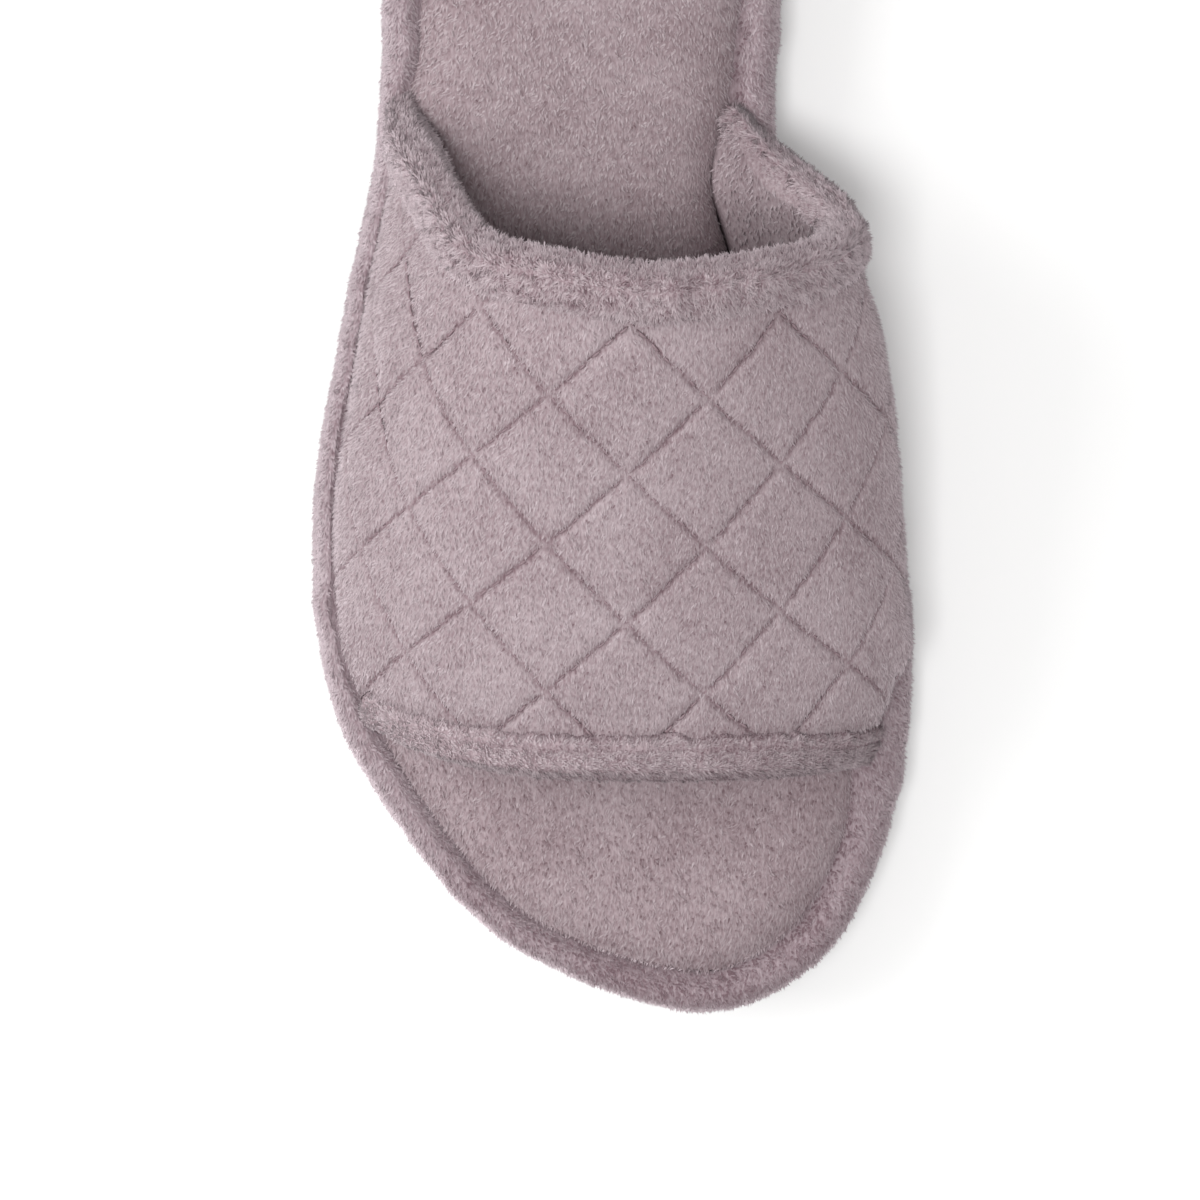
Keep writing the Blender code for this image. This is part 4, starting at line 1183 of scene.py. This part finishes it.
def stitch_paths(counts):
    """The stitch lines as girths and places along the foot: where a count passes each whole number."""
    paths = []
    for whole in range(int(np.ceil(counts.min())), int(np.floor(counts.max())) + 1):
        above = (counts > whole).sum(axis=0)
        passed = np.flatnonzero((above > 0) & (above < len(counts)))
        row = above[passed]
        before, after = counts[row - 1, passed], counts[row, passed]
        part_way = (before - whole) / (before - after)
        line_y = y[row - 1, passed] + part_way * (y[row, passed] - y[row - 1, passed])
        paths.append((girth[0, passed], line_y))
    return [(line_girth, line_y) for line_girth, line_y in paths if len(line_girth) > SHORTEST_LINE]


def stitches(path, up):
    """Spindles at even steps along a path, as rings of points, with both ends dipped against up."""
    length = lengths_along(path)
    share = np.linspace(0.0, 1.0, len(THREAD_SWELL))
    at = np.arange(THREAD_PITCH, length[-1] - THREAD_PITCH, THREAD_PITCH)[:, None] + THREAD_STITCH * share
    centre, normal = read_along(at, length, path), unit(read_along(at, length, up))
    side = np.cross(normal, unit(np.gradient(centre, axis=1)))
    centre = centre - normal * (THREAD_DEPTH + THREAD_DIP * (2 * share - 1) ** 2)[:, None]
    angle = 2 * np.pi * np.arange(THREAD_SIDES)[:, None] / THREAD_SIDES
    ring = np.cos(angle) * side[:, :, None] + np.sin(angle) * normal[:, :, None]
    return centre[:, :, None] + ring * (THREAD_RADIUS * THREAD_SWELL)[:, None, None]


def thread_material():
    """Spun thread: deep mauve with a fine diagonal twist in its bump, and a little gloss."""
    made, nodes = new_material("sewing_thread")
    place = feed(nodes, "TexCoord", "Object", {}, {})
    twist = feed(nodes, "TexWave", "Fac", {"Scale": 1100.0}, {"Vector": place}, bands_direction="DIAGONAL")
    bump = feed(nodes, "Bump", "Normal", {"Strength": 0.5, "Distance": 0.05 * MM}, {"Height": twist})
    wire(nodes["Principled BSDF"], {"Base Color": THREAD_COLOUR, "Roughness": 0.6}, {"Normal": bump})
    return made


sewn = []
for line_girth, line_y in stitch_paths(falling) + stitch_paths(rising):
    line = wall_layer(line_girth, line_y, np.full(len(line_y), -PILE_STAND))
    sewn.append(stitches(line, wall_normal(line_girth, line_y)))
hem_up = -grid_normals(hem_face)
for seam in HEM_SEAMS:
    place = np.interp(-seam, -hem_backs[:HEM_OUTER_ROWS], np.arange(HEM_OUTER_ROWS))
    row, part_way = int(place), place % 1.0
    seam_path = hem_face[:, row] * (1 - part_way) + hem_face[:, row + 1] * part_way
    in_sight = seam_path[:, 0] > HEM_SEAM_X[0]
    sewn.append(stitches(seam_path[in_sight], hem_up[in_sight, row]))
sewing_thread = closed_piece("sewing_thread", np.concatenate(sewn), thread_material())

# Floor, light and camera
# A pale floor under a lamp high over the little-toe side and broad window light from that side. The camera
# is almost straight above the vamp, a little towards the little toe and the heel.

FLOOR_REACH = 2500.0
FLOOR_DROP = 0.1
FLOOR_COLOUR = (0.94, 0.94, 0.935, 1.0)
Light = namedtuple("Light", "name place width watts")
LIGHTS = (
    Light("lamp", (-180.0, -120.0, 985.0), 240.0, 5.5),
    Light("window", (-780.0, 120.0, 590.0), 600.0, 4.7),
)
LIT_PLACE = (0.0, -40.0, 20.0)
SKY_COLOUR = (1.0, 1.0, 1.0, 1.0)
SKY_STRENGTH = 0.55
LOOK_AT = np.array([-3.0, -56.5, 15.0])
EYE_DISTANCE = 850.0
TOWARDS_LITTLE_TOE = np.radians(6.0)
TOWARDS_HEEL = np.radians(3.0)
PIXELS_PER_MM = 5.75
FRAME_PIXELS = 1200
SENSOR_WIDTH = 36.0


def aimed(place, target):
    """Place and turn of a light or camera that looks from place at target, with +Y up in its view."""
    place, target = np.asarray(place), np.asarray(target)
    away = unit(place - target)
    right = unit(np.cross((0.0, 1.0, 0.0), away))
    turn = np.column_stack([right, np.cross(away, right), away])
    return Matrix.Translation(place * MM) @ Matrix(turn.tolist()).to_4x4()


floor_mesh = bpy.data.meshes.new("floor")
floor_plan = FLOOR_REACH * np.array([(-1, -1), (1, -1), (1, 1), (-1, 1)])
floor_mesh.from_pydata((lifted(floor_plan, -FLOOR_DROP) * MM).tolist(), [], [(0, 1, 2, 3)])
floor_paint, floor_nodes = new_material("floor_paint")
wire(floor_nodes["Principled BSDF"], {"Base Color": FLOOR_COLOUR, "Roughness": 0.8}, {})
floor = linked("floor", floor_mesh, floor_paint)

for light in LIGHTS:
    lamp = bpy.data.lights.new(light.name, "AREA")
    lamp.size = light.width * MM
    lamp.energy = light.watts
    lamp_stand = bpy.data.objects.new(light.name, lamp)
    lamp_stand.matrix_world = aimed(light.place, LIT_PLACE)
    bpy.context.scene.collection.objects.link(lamp_stand)

sky = bpy.data.worlds.new("sky")
sky.use_nodes = True
wire(sky.node_tree.nodes["Background"], {"Color": SKY_COLOUR, "Strength": SKY_STRENGTH}, {})
bpy.context.scene.world = sky
bpy.context.scene.view_settings.view_transform = "Standard"

lens = bpy.data.cameras.new("camera")
lens.sensor_width = SENSOR_WIDTH
lens.lens = SENSOR_WIDTH * PIXELS_PER_MM * EYE_DISTANCE / FRAME_PIXELS
camera = bpy.data.objects.new("camera", lens)
view_line = unit(np.array([-np.tan(TOWARDS_LITTLE_TOE), np.tan(TOWARDS_HEEL), 1.0]))
camera.matrix_world = aimed(LOOK_AT + EYE_DISTANCE * view_line, LOOK_AT)
bpy.context.scene.collection.objects.link(camera)
bpy.context.scene.camera = camera
